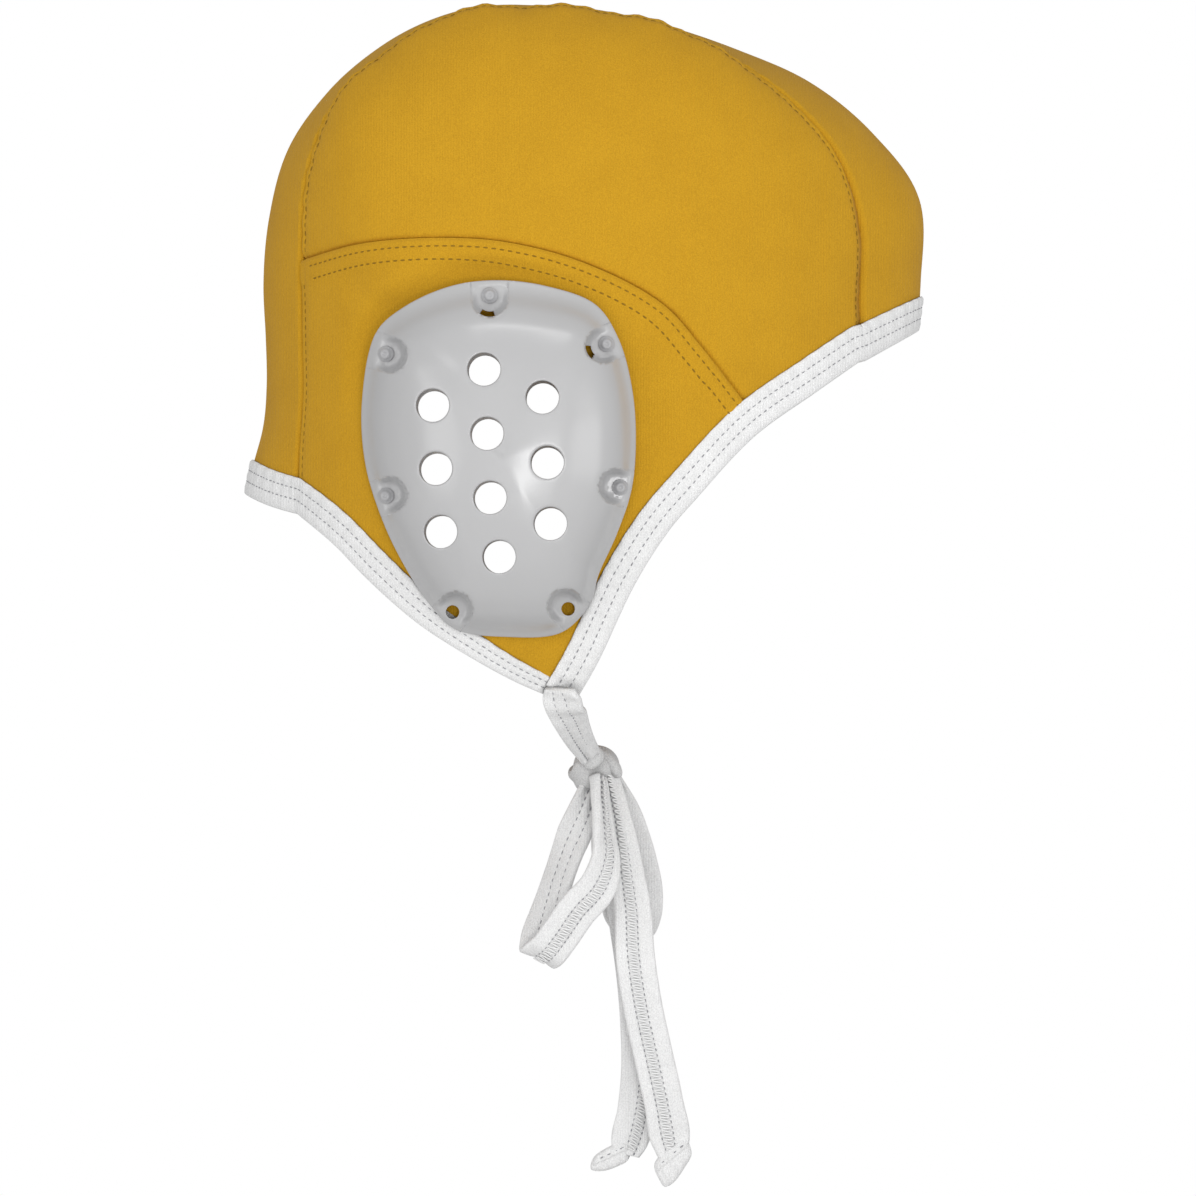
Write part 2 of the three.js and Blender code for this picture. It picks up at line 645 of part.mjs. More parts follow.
// Cloth wall through a grid of shell places
function cloth(places, ring, rise = () => 0) {
  const point = (height) => (p) => lifted(p.angle, p.across, rise(p) + height);
  return wall(
    places.map((column) => column.map(point(0))),
    places.map((column) => column.map(point(-CLOTH))),
    ring,
  );
}

function centrePanel() {
  const edge = 1 - CROWN_SEAM_GAP / 2 / CENTRE_HALF_WIDTH;
  const places = [];
  for (let i = 0; i <= CENTRE_COLUMNS; i += 1) {
    const column = [];
    for (let j = 0; j <= CENTRE_ROWS; j += 1) {
      const across = lerp(-edge, edge, j / CENTRE_ROWS);
      column.push({ angle: lerp(browAngle(across), napeAngle(across), i / CENTRE_COLUMNS), across });
    }
    places.push(column);
  }
  return cloth(places, false);
}

// The gathered ridge, fading down the side panel from the centre seam
function ridge(place) {
  const seamLength = surface(place.angle, place.across).distanceTo(surface(place.angle, -1));
  return gather(place.angle) * Math.exp(-((seamLength / RIDGE_WIDTH) ** 2));
}

function upperSidePanel() {
  const frontInset = (u) => offsetCurvePoint(faceEdge, u, -EDGE_INSET);
  const seamStart = frontJunction();
  const browCorner = { angle: browAngle(-1), across: seamSide(browAngle(-1)) };
  const backCorner = shellPlace(offsetCurvePoint(earSeam, 1, -SEAM_GAP / 2));
  const places = [];
  for (let i = 0; i <= SEAM_COLUMNS; i += 1) {
    const u = i / SEAM_COLUMNS;
    const column = [];
    const low = shellPlace(offsetCurvePoint(earSeam, lerp(seamStart.seam, 1, u), -SEAM_GAP / 2));
    const highAngle = lerp(browCorner.angle, backCorner.angle - SEAM_CORNER_STEP, u);
    for (let j = 0; j <= UPPER_ROWS; j += 1) {
      const v = j / UPPER_ROWS;
      const high = { angle: highAngle, across: seamSide(highAngle) };
      const place = { angle: lerp(low.angle, high.angle, v), across: lerp(low.across, high.across, v) };
      // The front column follows the taped edge between the two seams
      const front = shellPlace(frontInset(lerp(seamStart.face, 0, v)));
      const straight = shellPlace(offsetCurvePoint(earSeam, seamStart.seam, -SEAM_GAP / 2));
      const pull = (1 - u) ** 3;
      const line = {
        angle: lerp(straight.angle, browCorner.angle, v),
        across: lerp(straight.across, browCorner.across, v),
      };
      if (j > 0 && j < UPPER_ROWS) {
        place.angle += pull * (front.angle - line.angle);
        place.across += pull * (front.across - line.across);
      }
      column.push(place);
    }
    places.push(column);
  }
  return cloth(places, false, ridge);
}

// Where the curved seam meets the taped edge: the nearest pair of points on the two curves
function frontJunction() {
  let best = { distance: Infinity };
  for (let i = 0; i <= JUNCTION_SAMPLES; i += 1) {
    const face = i / JUNCTION_SAMPLES;
    const edgePoint = offsetCurvePoint(faceEdge, face, -EDGE_INSET);
    for (let j = 0; j <= JUNCTION_SAMPLES; j += 1) {
      const seam = j / JUNCTION_SAMPLES;
      const distance = earSeam.getPoint(seam).distanceTo(edgePoint);
      if (distance < best.distance) best = { distance, face, seam };
    }
  }
  return best;
}

// Distance from the ear's middle to the rim of the ear opening, in a direction
function openingRadius(angle) {
  const a = EAR_OPENING_WIDTH / 2;
  const b = EAR_OPENING_HEIGHT / 2;
  const c = Math.cos(radians(angle));
  const s = Math.sin(radians(angle));
  const qa = (c / a) ** 2 + (s / b) ** 2;
  const qb = -2 * ((c * EAR_OPENING_AHEAD) / (a * a) + (s * EAR_OPENING_UP) / (b * b));
  const qc = (EAR_OPENING_AHEAD / a) ** 2 + (EAR_OPENING_UP / b) ** 2 - 1;
  return (-qb + Math.sqrt(qb * qb - 4 * qa * qc)) / (2 * qa);
}

function earPanel() {
  const junction = frontJunction();
  const rim = [];
  const addCurve = (count, place) => {
    for (let i = 0; i < count; i += 1) rim.push(place(i / count));
  };
  const seamBack = shellPlace(offsetCurvePoint(earSeam, 1, SEAM_GAP / 2)).angle;
  const napeCorner = napeAngle(-1);
  for (let i = 0; i <= SEAM_COLUMNS; i += 1) {
    const u = lerp(junction.seam, 1, i / SEAM_COLUMNS);
    rim.push(shellPlace(offsetCurvePoint(earSeam, u, SEAM_GAP / 2)));
  }
  addCurve(EAR_COLUMNS.back, (u) => {
    const angle = lerp(seamBack + SEAM_CORNER_STEP, napeCorner, u);
    return { angle, across: seamSide(angle) };
  });
  addCurve(EAR_COLUMNS.nape, (u) => shellPlace(offsetCurvePoint(napeEdge, u, EDGE_INSET)));
  addCurve(EAR_COLUMNS.face, (u) =>
    shellPlace(offsetCurvePoint(faceEdge, lerp(FLAP_CORNER, junction.face, u), -EDGE_INSET)),
  );
  const places = rim.map(({ angle, across }) => {
    const radius = openingRadius(angle);
    const inner = placeToShell(radius * Math.cos(radians(angle)), radius * Math.sin(radians(angle)));
    return Array.from({ length: EAR_ROWS + 1 }, (_, j) => ({
      angle,
      across: lerp(inner.across, across, j / EAR_ROWS),
    }));
  });
  let solid = toSolid(cloth(places, true));
  for (const pin of RECESSES.filter((r) => r.pinned)) {
    const radius = PIN_RADIUS + PIN_CLEARANCE;
    const cut = turned(postAxis(guardPlace(pin)), [[radius, -3 * CLOTH], [radius, 3 * CLOTH]], PIN_SIDES);
    solid = solid.subtract(toSolid(cut));
  }
  return toGeometry(solid);
}

// A taped edge: the tape's section is carried along the cap's edge from tip to tip
function edgeStations(edge, middleAngle) {
  const half = [];
  for (let i = EDGE_SAMPLES; i > 0; i -= 1) half.push(shellPlace(edge.getPoint(i / EDGE_SAMPLES)));
  for (let i = EDGE_SAMPLES; i >= 0; i -= 1) {
    const across = -i / EDGE_SAMPLES;
    half.push({ angle: edgeAngle(edge, middleAngle, across), across });
  }
  const otherHalf = half.slice(0, -1).reverse();
  const places = [...half, ...otherHalf.map((p) => ({ angle: p.angle, across: -p.across }))];
  const points = places.map((p) => surface(p.angle, p.across));
  const lengths = [0];
  for (let i = 1; i < points.length; i += 1) {
    lengths.push(lengths[i - 1] + points[i].distanceTo(points[i - 1]));
  }
  const total = lengths.at(-1);
  const stations = [];
  let at = 1;
  for (let i = 0; i <= BINDING_STATIONS; i += 1) {
    const wanted = (total * i) / BINDING_STATIONS;
    while (at < points.length - 1 && lengths[at] < wanted) at += 1;
    const s = (wanted - lengths[at - 1]) / (lengths[at] - lengths[at - 1]);
    const angle = lerp(places[at - 1].angle, places[at].angle, s);
    const across = lerp(places[at - 1].across, places[at].across, s);
    stations.push({ angle, across, point: surface(angle, across), share: i / BINDING_STATIONS });
  }
  stations.forEach((station, i) => {
    const before = stations[Math.max(0, i - 1)].point;
    const after = stations[Math.min(BINDING_STATIONS, i + 1)].point;
    station.tangent = after.clone().sub(before).normalize();
  });
  return stations;
}

// The shell place nearest to a point, from a first guess, by least squares on the two coordinates
function nearestPlace(point, guess) {
  let { angle, across } = guess;
  for (let i = 0; i < 8; i += 1) {
    const here = surface(angle, across);
    const miss = point.clone().sub(here);
    const da = surface(angle + PROBE_STEP.angle, across)
      .sub(surface(angle - PROBE_STEP.angle, across))
      .divideScalar(2 * PROBE_STEP.angle);
    const dc = surface(angle, across + PROBE_STEP.across)
      .sub(surface(angle, across - PROBE_STEP.across))
      .divideScalar(2 * PROBE_STEP.across);
    const aa = da.dot(da);
    const ac = da.dot(dc);
    const cc = dc.dot(dc);
    const ma = miss.dot(da);
    const mc = miss.dot(dc);
    const det = aa * cc - ac * ac;
    angle += (ma * cc - mc * ac) / det;
    across += (mc * aa - ma * ac) / det;
  }
  return { angle, across };
}

function binding(edge, middleAngle, inward, endWidth) {
  const under = -CLOTH - LINING_GAP;
  const over = TAPE_GAP;
  // Section of the tape: how far it reaches in from the cap's edge, and its height over the cloth
  const section = (width) => [
    [width, over],
    [width, over + TAPE_LEAF],
    [TAPE_LEAF, over + TAPE_LEAF],
    [0, over],
    [0, under],
    [TAPE_LEAF, under - TAPE_LEAF],
    [width, under - TAPE_LEAF],
    [width, under],
    [TAPE_LEAF, under],
    [TAPE_LEAF, over],
  ];
  const sections = edgeStations(edge, middleAngle).map((station) => {
    const normal = outward(station.angle, station.across);
    const inset = normal.clone().cross(station.tangent).normalize().multiplyScalar(inward);
    const fromTip = Math.min(station.share, 1 - station.share);
    const width = TAPE_WIDTH * lerp(endWidth, 1, THREE.MathUtils.smoothstep(fromTip, 0, TAPER_SHARE));
    return section(width).map(([reach, height]) => {
      const place = nearestPlace(station.point.clone().addScaledVector(inset, reach), station);
      return lifted(place.angle, place.across, height);
    });
  });
  return loft(sections, section(TAPE_WIDTH).map(([x, y]) => new THREE.Vector2(x, y)));
}

// Guard shares to millimetres ahead and up of the ear
function guardPlace(row) {
  return {
    ahead: GUARD_AHEAD + (row.ahead * GUARD_WIDTH) / 2,
    up: GUARD_UP + (row.up * GUARD_HEIGHT) / 2,
  };
}

const guardCurve = new THREE.CatmullRomCurve3(
  GUARD_OUTLINE.map((row) => vec(guardPlace(row).ahead, 0, guardPlace(row).up)),
  true,
  "centripetal",
);

const RIM_LIFT = TAPE_GAP + TAPE_LEAF + SEAM_GAP; // the rim clears the tape that runs under it

// Closed solid between a guard face and a floor over the cloth, each in rings from the guard's edge inwards
function guardSolid(rings, middleRise, floorRings) {
  const face = [...floorRings].reverse().concat(rings);
  const middle = { ahead: GUARD_AHEAD, up: GUARD_UP };
  const at = (ahead, up, rise) => vec(EAR.x + ahead, -(sideWidth(ahead, up) + rise), EAR.z + up);
  const points = [];
  for (let i = 0; i < GUARD_COLUMNS; i += 1) {
    const edge = guardCurve.getPointAt(i / GUARD_COLUMNS);
    const ahead = edge.x - GUARD_AHEAD;
    const up = edge.z - GUARD_UP;
    const radius = Math.hypot(ahead, up);
    const spread = 1 + SKIRT_SPREAD_AT_TOP * Math.max(0, up / radius) ** 3;
    for (const { inset, rise } of face) {
      const share = 1 - (inset * spread) / radius;
      points.push(at(GUARD_AHEAD + ahead * share, GUARD_UP + up * share, rise));
    }
  }
  const rows = face.length;
  const top = points.push(at(middle.ahead, middle.up, middleRise)) - 1;
  const bottom = points.push(at(middle.ahead, middle.up, floorRings.at(-1).rise)) - 1;
  const triangles = [];
  for (let i = 0; i < GUARD_COLUMNS; i += 1) {
    const a = i * rows;
    const b = ((i + 1) % GUARD_COLUMNS) * rows;
    for (let j = 0; j < rows - 1; j += 1) {
      triangles.push([a + j, b + j, b + j + 1], [a + j, b + j + 1, a + j + 1]);
    }
    triangles.push([a + rows - 1, b + rows - 1, top], [b, a, bottom]);
  }
  return toSolid(closedGeometry(points, triangles));
}

function earGuard() {
  const far = 3 * GUARD_DOME;
  const rings = GUARD_RINGS.map(({ inset, rise }) => ({ inset, rise: rise * GUARD_DOME }));
  const hollow = rings.slice(1).map(({ inset, rise }) => ({
    inset: inset + GUARD_WALL,
    rise: rise - GUARD_WALL,
  }));
  const floor = GUARD_FLOOR_INSETS.map((inset) => ({ inset, rise: RIM_LIFT }));
  const body = guardSolid(rings, GUARD_DOME, floor);
  const below = [{ inset: hollow[0].inset, rise: -GUARD_WALL }];
  let inside = guardSolid(hollow, GUARD_DOME - GUARD_WALL, below);
  for (const recess of RECESSES) {
    const radius = RECESS_RADIUS + RECESS_WALL;
    const post = turned(postAxis(guardPlace(recess)), [[radius, -GUARD_DOME], [radius, far]], PIN_SIDES);
    inside = inside.subtract(toSolid(post));
  }
  let guard = body.subtract(inside);
  for (const recess of RECESSES) {
    const axis = postAxis(guardPlace(recess));
    const pin = PIN_RADIUS + PIN_CLEARANCE;
    const pocket = [[RECESS_RADIUS, RIM_LIFT + LUG_FLOOR], [RECESS_RADIUS, far]];
    guard = guard.subtract(toSolid(turned(axis, pocket, PIN_SIDES)));
    guard = guard.subtract(toSolid(turned(axis, [[pin, -far], [pin, far]], PIN_SIDES)));
  }
  for (const hole of GUARD_HOLES) {
    const bar = [[GUARD_HOLE_RADIUS, 0], [GUARD_HOLE_RADIUS, 2 * EAR_HALF_WIDTH]];
    guard = guard.subtract(toSolid(turned(sidewaysAxis(guardPlace(hole)), bar)));
  }
  return toGeometry(guard);
}

// A pin: its nub over the recess floor, its shaft through floor and cloth, and its flat head inside the cloth
function guardPin(recess) {
  const inside = -CLOTH - PIN_SLACK;
  const floor = RIM_LIFT + LUG_FLOOR + PIN_CLEARANCE;
  const rings = [
    [PIN_HEAD_RADIUS, inside - PIN_HEAD],
    [PIN_HEAD_RADIUS, inside],
    [PIN_RADIUS, inside],
    [PIN_RADIUS, floor],
    [PIN_NUB_RADIUS, floor],
    [PIN_NUB_RADIUS, floor + PIN_NUB_HEIGHT / 2],
    [PIN_NUB_RADIUS / 2, floor + PIN_NUB_HEIGHT],
  ];
  return turned(postAxis(guardPlace(recess)), rings, PIN_SIDES);
}

// Flat tape carried along a route, as a rounded strip
function tape(route, thickness) {
  const at = (row) => vec(EAR.x + row.ahead, row.side, EAR.z + row.up);
  const sections = route.map((row, i) => {
    const before = at(route[Math.max(0, i - 1)]);
    const after = at(route[Math.min(route.length - 1, i + 1)]);
    const along = after.sub(before).normalize();
    const turn = radians(row.turn);
    const tilt = radians(row.tilt);
    const wide = vec(Math.cos(turn) * Math.cos(tilt), Math.sin(turn) * Math.cos(tilt), Math.sin(tilt));
    if (!row.cut) wide.addScaledVector(along, -wide.dot(along)).normalize();
    const thick = along.clone().cross(wide).normalize();
    return flatOval(TAPE_WIDTH * (row.width ?? 1), thickness).map(({ x, y }) =>
      at(row).addScaledVector(wide, x).addScaledVector(thick, y),
    );
  });
  return loft(sections, flatOval(TAPE_WIDTH, thickness));
}

function flatOval(width, thickness) {
  const w = width / 2;
  const h = thickness / 2;
  const corner = w - h;
  return [
    [-w, 0],
    [-corner, -h],
    [corner, -h],
    [w, 0],
    [corner, h],
    [-corner, h],
  ].map(([x, y]) => new THREE.Vector2(x, y));
}

// The tip of a tail: the tape folded over itself, an outline with rounded faces
function tailTip({ side, thickness, points }) {
  const middle = points.reduce((sum, [x, z]) => sum.add(new THREE.Vector2(x, z)), new THREE.Vector2());
  middle.divideScalar(points.length);
  const layer = (share, y) =>
    points.map(([x, z]) =>
      vec(EAR.x + lerp(middle.x, x, share), side + y, EAR.z + lerp(middle.y, z, share)),
    );
  const h = thickness / 2;
  const flat = points.map(([x, z]) => new THREE.Vector2(x, z));
  return loft([layer(0.7, -h), layer(1, -h / 3), layer(1, h / 3), layer(0.7, h)], flat);
}

// The knot: a rounded lump with the groove where one tape wraps the other
function bowKnot() {
  const geometry = new THREE.SphereGeometry(1, KNOT_SIDES, KNOT_RINGS);
  const position = geometry.getAttribute("position");
  const points = [];
  const keys = new Map();
  const index = [];
  for (let i = 0; i < position.count; i += 1) {
    const p = vec(position.getX(i), position.getY(i), position.getZ(i));
    const key = [p.x, p.y, p.z].map((v) => v.toFixed(4)).join();
    if (!keys.has(key)) {
      keys.set(key, points.length);
      const fromGroove = (p.z - KNOT_GROOVE.slope * p.x + KNOT_GROOVE.place) / KNOT_GROOVE.spread;
      const flat = 1 + KNOT_FLAT.share * Math.cos(2 * Math.atan2(p.z, p.x) + KNOT_FLAT.turn);
      const scale = flat - KNOT_GROOVE.depth * Math.exp(-(fromGroove ** 2));
      points.push(
        vec(
          EAR.x + KNOT_AHEAD + (p.x * scale * KNOT_WIDTH) / 2,
          (p.y * scale * KNOT_DEPTH) / 2,
          EAR.z - KNOT_DROP + (p.z * scale * KNOT_HEIGHT) / 2,
        ),
      );
    }
    index.push(keys.get(key));
  }
  const triangles = [];
  const source = geometry.index.array;
  for (let i = 0; i < source.length; i += 3) {
    const [a, b, c] = [index[source[i]], index[source[i + 1]], index[source[i + 2]]];
    if (a !== b && b !== c && a !== c) triangles.push([a, b, c]);
  }
  return closedGeometry(points, triangles);
}

const group = new THREE.Group();
group.name = "water_polo_cap";

function add(name, geometry, look) {
  const mesh = new THREE.Mesh(geometry, new THREE.MeshStandardMaterial(look));
  mesh.name = name;
  group.add(mesh);
}

function addPair(name, geometry, look) {
  add(name + "_right", geometry, look);
  add(name + "_left", mirrored(geometry), look);
}

add("centre_panel", centrePanel(), KNIT);
addPair("upper_side_panel", upperSidePanel(), KNIT);
addPair("ear_panel", earPanel(), KNIT);
add("binding_front", binding(faceEdge, BROW_ANGLE, 1, 1), WHITE_TAPE);
add("binding_back", binding(napeEdge, NAPE_ANGLE, -1, NAPE_TAPER), WHITE_TAPE);
addPair("ear_guard", earGuard(), GUARD_PLASTIC);
RECESSES.filter((recess) => recess.pinned).forEach((recess, i) => {
  const pin = guardPin(recess);
  add("guard_pin_right_" + (i + 1), pin, PIN_PLASTIC);
  add("guard_pin_left_" + (i + 1), mirrored(pin), PIN_PLASTIC);
});
addPair("chin_tie", tape(CHIN_TIE, TIE_THICKNESS), WHITE_TAPE);
add("bow_knot", bowKnot(), WHITE_TAPE);
add("bow_loop_near", tape(BOW_LOOP_NEAR, TIE_THICKNESS), WHITE_TAPE);
add("bow_loop_far", tape(BOW_LOOP_FAR, TIE_THICKNESS), WHITE_TAPE);
add("tie_tail_near", tape(TIE_TAIL_NEAR, TIE_THICKNESS), WHITE_TAPE);
add("tie_tail_far", tape(TIE_TAIL_FAR, TIE_THICKNESS), WHITE_TAPE);
add("tail_tip_near", tailTip(TIP_NEAR), WHITE_TAPE);
add("tail_tip_far", tailTip(TIP_FAR), WHITE_TAPE);

export default group;
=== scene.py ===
# A water polo cap: fine knit panels, taped edges, glossy ear guards and a bow of tape.
# Sizes are in millimetres and become metres where a mesh is made.
# +X is the wearer's front, +Z is up, and -Y is the wearer's right side, which the camera sees.
import math

import bpy
import numpy as np
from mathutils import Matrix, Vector
from mathutils.geometry import delaunay_2d_cdt


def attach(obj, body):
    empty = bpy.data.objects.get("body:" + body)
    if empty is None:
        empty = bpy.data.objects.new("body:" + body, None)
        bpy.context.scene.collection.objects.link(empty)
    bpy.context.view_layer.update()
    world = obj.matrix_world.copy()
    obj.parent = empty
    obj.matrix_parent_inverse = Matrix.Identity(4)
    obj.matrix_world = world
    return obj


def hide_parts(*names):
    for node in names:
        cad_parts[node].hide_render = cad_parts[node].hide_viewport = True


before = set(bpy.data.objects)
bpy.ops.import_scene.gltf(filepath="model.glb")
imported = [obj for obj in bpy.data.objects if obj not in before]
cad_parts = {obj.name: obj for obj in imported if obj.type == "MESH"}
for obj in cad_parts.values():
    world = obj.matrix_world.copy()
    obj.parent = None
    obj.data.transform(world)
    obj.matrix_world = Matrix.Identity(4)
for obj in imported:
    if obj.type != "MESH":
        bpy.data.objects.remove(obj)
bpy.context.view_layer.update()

MM = 0.001

# Main sizes of the shell, from the middle of the ear outwards
FRONT_REACH = 126
BACK_REACH = 80
CROWN_RISE = 132
FLAP_DROP = 100
EAR_HALF_WIDTH = 78
CENTRE_HALF_WIDTH = 36
SEAT_ANGLE = 85
CLOTH = 1.6
SEAM_GAP = 0.3
LINING_GAP = 0.7
TAPE_GAP = 0.5
TAPE_WIDTH = 11.5
TAPE_LEAF = 0.9
TIE_THICKNESS = 2.2
EDGE_INSET = TAPE_LEAF + 3 * SEAM_GAP

# Ear opening, guard and pins
EAR_OPENING_WIDTH = 59
EAR_OPENING_HEIGHT = 82
EAR_OPENING_AHEAD = -7.5
EAR_OPENING_UP = -11
GUARD_WIDTH = 85
GUARD_HEIGHT = 110
GUARD_AHEAD = -6.2
GUARD_UP = -9.3
GUARD_WALL = 2.2
GUARD_DOME = 20
GUARD_HOLE_RADIUS = 5.1
LUG_FLOOR = 2.4
PIN_RADIUS = 1.8
PIN_CLEARANCE = 0.3
PIN_NUB_RADIUS = 2.5
PIN_NUB_HEIGHT = 1.8
PIN_HEAD_RADIUS = 4.2
PIN_HEAD = 1.0
PIN_SLACK = 2.0
RIM_LIFT = TAPE_GAP + TAPE_LEAF + SEAM_GAP

# Bow
KNOT_AHEAD = 23.5
KNOT_DROP = 104.5

# Sections of the shell round the ear: angle from straight ahead, the seam and the middle of the centre
# panel as shares of the base oval, and how round the side runs into the seam
SECTIONS = np.array([
    (-75, 1.06, 1.12, 1), (-45, 0.94, 1.03, 1), (-15, 0.855, 0.97, 1), (8, 0.86, 0.972, 1),
    (20, 0.889, 1.042, 1), (30, 0.961, 1.12, 1), (40, 1.012, 1.111, 0.6), (50, 1.019, 1.083, 0.3),
    (60, 1.013, 1.04, 0.08), (70, 1.003, 1.014, 0), (80, 0.992, 1.003, 0), (90, 0.984, 0.997, 0),
    (100, 1.001, 1.016, 0), (110, 1.022, 1.05, 0.05), (120, 1.052, 1.09, 0.12), (130, 1.024, 1.116, 0.5),
    (140, 0.956, 1.094, 1), (150, 0.903, 1.056, 1), (160, 0.87, 1.012, 1), (170, 0.852, 0.99, 1),
    (180, 0.856, 1.0, 1), (190, 0.873, 1.058, 1), (200, 0.9, 1.12, 1), (225, 1.03, 1.25, 1),
    (255, 1.06, 1.18, 1),
])
SEAM, MIDDLE, ROUND = 1, 2, 3

# Gathers of the crown seam: angle of the peak, its height and its spread in degrees
RIDGE_HEIGHT = 2.0
RIDGE_WIDTH = 7
RIDGE_LIMIT = 1.2
GATHERS = [(63, 0.75, 4), (72, 1.15, 5), (84, 1.15, 5), (95.5, 1.1, 4.5), (105, 0.8, 5), (115, 0.8, 5)]

# Curves in the side view, ahead and up of the ear as shares of the reaches and rises
EAR_SEAM = [
    (0.605, -0.005), (0.546, 0.066), (0.445, 0.19), (0.349, 0.291), (0.155, 0.388), (-0.066, 0.437),
    (-0.345, 0.446), (-0.624, 0.432), (-0.849, 0.395),
]
FACE_EDGE = [
    (0.834, 0.157), (0.726, 0.085), (0.578, -0.022), (0.431, -0.22), (0.364, -0.319), (0.283, -0.48),
    (0.192, -0.722), (0.143, -0.831),
]
NAPE_EDGE = [
    (-0.864, -0.264), (-0.717, -0.363), (-0.601, -0.459), (-0.484, -0.546), (-0.368, -0.62),
    (-0.136, -0.735), (0.035, -0.815),
]
BROW_ANGLE = 13.7
NAPE_ANGLE = 193.7
NAPE_TAPER = 0.62
TAPER_SHARE = 0.25
FLAP_CORNER = 0.97

# Guard outline, holes and recesses, in half widths and half heights from its middle
GUARD_OUTLINE = [
    (-0.05, 1.0), (0.32, 0.97), (0.69, 0.865), (0.855, 0.68), (0.955, 0.405), (0.985, 0.12),
    (0.955, -0.17), (0.845, -0.427), (0.715, -0.65), (0.655, -0.81), (0.445, -0.975), (0.045, -1.0),
    (-0.33, -0.955), (-0.53, -0.8), (-0.72, -0.567), (-0.86, -0.337), (-0.98, -0.03), (-1.005, 0.32),
    (-0.9, 0.71), (-0.7, 0.85), (-0.365, 0.966),
]
GUARD_RINGS = [(0, 0.17), (1.6, 0.25), (4.2, 0.52), (7.0, 0.68), (13, 0.83), (24, 0.95), (42, 1.0)]
SKIRT_SPREAD_AT_TOP = 1.1
GUARD_HOLES = [
    (-0.117, 0.5), (-0.489, 0.298), (0.307, 0.343), (-0.095, 0.14), (-0.467, -0.056), (0.343, -0.022),
    (-0.073, -0.219), (-0.431, -0.41), (0.365, -0.365), (-0.007, -0.551),
]
# Recesses: place and whether a pin fills it; the side view direction of its opening in the guard's rim is
# found from the rim near it
RECESSES = [
    (-0.073, 0.91, True), (0.766, 0.64, True), (0.861, -0.157, True), (-0.8, -0.209, True),
    (-0.8, 0.588, True), (0.489, -0.831, False), (-0.336, -0.848, False),
]

# Routes of the tape, as chosen, in millimetres from the middle of the ear: ahead, side, up, turn, tilt and
# width. Turn is the direction of the tape's width round the vertical, in degrees from straight ahead, tilt
# is its slope upwards, and width is the share of its full width where the knot gathers it.
CHIN_TIE = [
    (12.6, -60, -82.5, 0, -34, 1), (13.4, -57.6, -86, 0, -12, 1), (14.8, -52.0, -88.6, 4, 10, 0.94),
    (16.6, -42.5, -92.6, 6, 24, 0.82), (18.6, -30.5, -96.6, 8, 30, 0.7), (20.6, -19.5, -99.8, 8, 32, 0.6),
    (21.9, -10, -102, 6, 32, 0.52),
]
BOW_LOOP_NEAR = [
    (22, -4.2, -111.2, 0, -12, 0.6), (18.9, -5.4, -119.6, 0, -16, 0.8), (14.8, -5.0, -130.2, -40, -18, 1),
    (11.1, -5.6, -141, -44, -19, 1), (8.2, -7.1, -151, -26, -20, 1), (5.9, -9.6, -158.8, 0, -23, 1),
    (5.6, -13.2, -163, 0, -27, 1), (8, -16.8, -162, 0, -34, 1), (12, -18.8, -157, 0, -40, 1),
    (17.4, -19.9, -149.2, 0, -38, 1), (23.9, -20.2, -141.6, 10, -30, 0.97),
    (26.4, -19.2, -133, 34, -18, 0.86), (25.8, -16.8, -125.2, 50, -6, 0.75),
    (25, -13.8, -117.6, 60, 2, 0.62), (24.3, -10.4, -111.2, 60, 2, 0.5),
]
BOW_LOOP_FAR = [
    (28.6, 5, -110.5, 0, 14, 0.6), (32, 6.8, -119, 0, 16, 0.85), (34.3, 7.8, -127.6, 0, 17, 1),
    (36.6, 8.4, -135.8, 0, 14, 1), (38, 9, -143.5, 0, 10, 1), (37.6, 10.4, -150.4, 0, 2, 1),
    (35.6, 13.8, -154.6, 0, -10, 1), (32.4, 17.6, -151.2, 0, -2, 1), (30, 19.4, -143.4, 0, 8, 1),
    (28.3, 18.6, -133.8, 0, 10, 1), (26.9, 15.6, -124, 0, 8, 0.85), (25.4, 12.2, -116, 0, 6, 0.6),
    (24.4, 10.2, -111.4, 0, 6, 0.5),
]
TIE_TAIL_NEAR = [
    (27.7, -5.4, -110.1, 20, 0, 0.58), (29.4, -7.4, -116.5, 20, 0, 0.62), (31.4, -9.4, -126, 16, 8, 0.74),
    (33, -10.6, -137, 12, 8, 0.86), (34.7, -11.2, -149, 8, 8, 0.96), (35.5, -10.8, -163, 4, 9, 1),
    (37.7, -10, -178, 0, 11, 1), (40.9, -9, -193, 0, 12, 1), (44.2, -8.2, -208, 0, 12, 1),
    (46.8, -8, -222.2, 0, 37, 0.9),
]
TIE_TAIL_FAR = [
    (25.6, 1, -112, 0, 0, 0.5), (27.6, 0.8, -120, 0, 4, 0.65), (30.4, 0.8, -135, 0, 8, 0.9),
    (33.2, 0.8, -151, 0, 8, 1), (35.6, 0.8, -168, 0, 6, 1), (37, 0.8, -185, 0, 3, 1),
    (37.2, 0.8, -200, 0, -2, 1), (36, 1, -211.5, -8, -12, 1), (33.2, 1.6, -222.6, 0, -12, 0.85),
]

# Tips: side and outline points in the plane of the tape, from their upper edge on
TIP_THICKNESS = 4.2
TIP_NEAR = (-8, [
    (41.5, -227.5), (50.8, -219.8), (53, -224.4), (51.2, -228.2), (47.1, -233.7), (44.6, -234.7),
    (43.1, -232.8),
])
TIP_FAR = (1.8, [
    (22.9, -225.4), (32.6, -220.8), (34.3, -222.4), (33.2, -226.6), (30.1, -228.5), (25.1, -230),
    (21.8, -229.4),
])


def smoothstep(x, low, high):
    t = np.clip((x - low) / (high - low), 0, 1)
    return t * t * (3 - 2 * t)


def bump(x, width):
    return np.exp(-((x / width) ** 2))


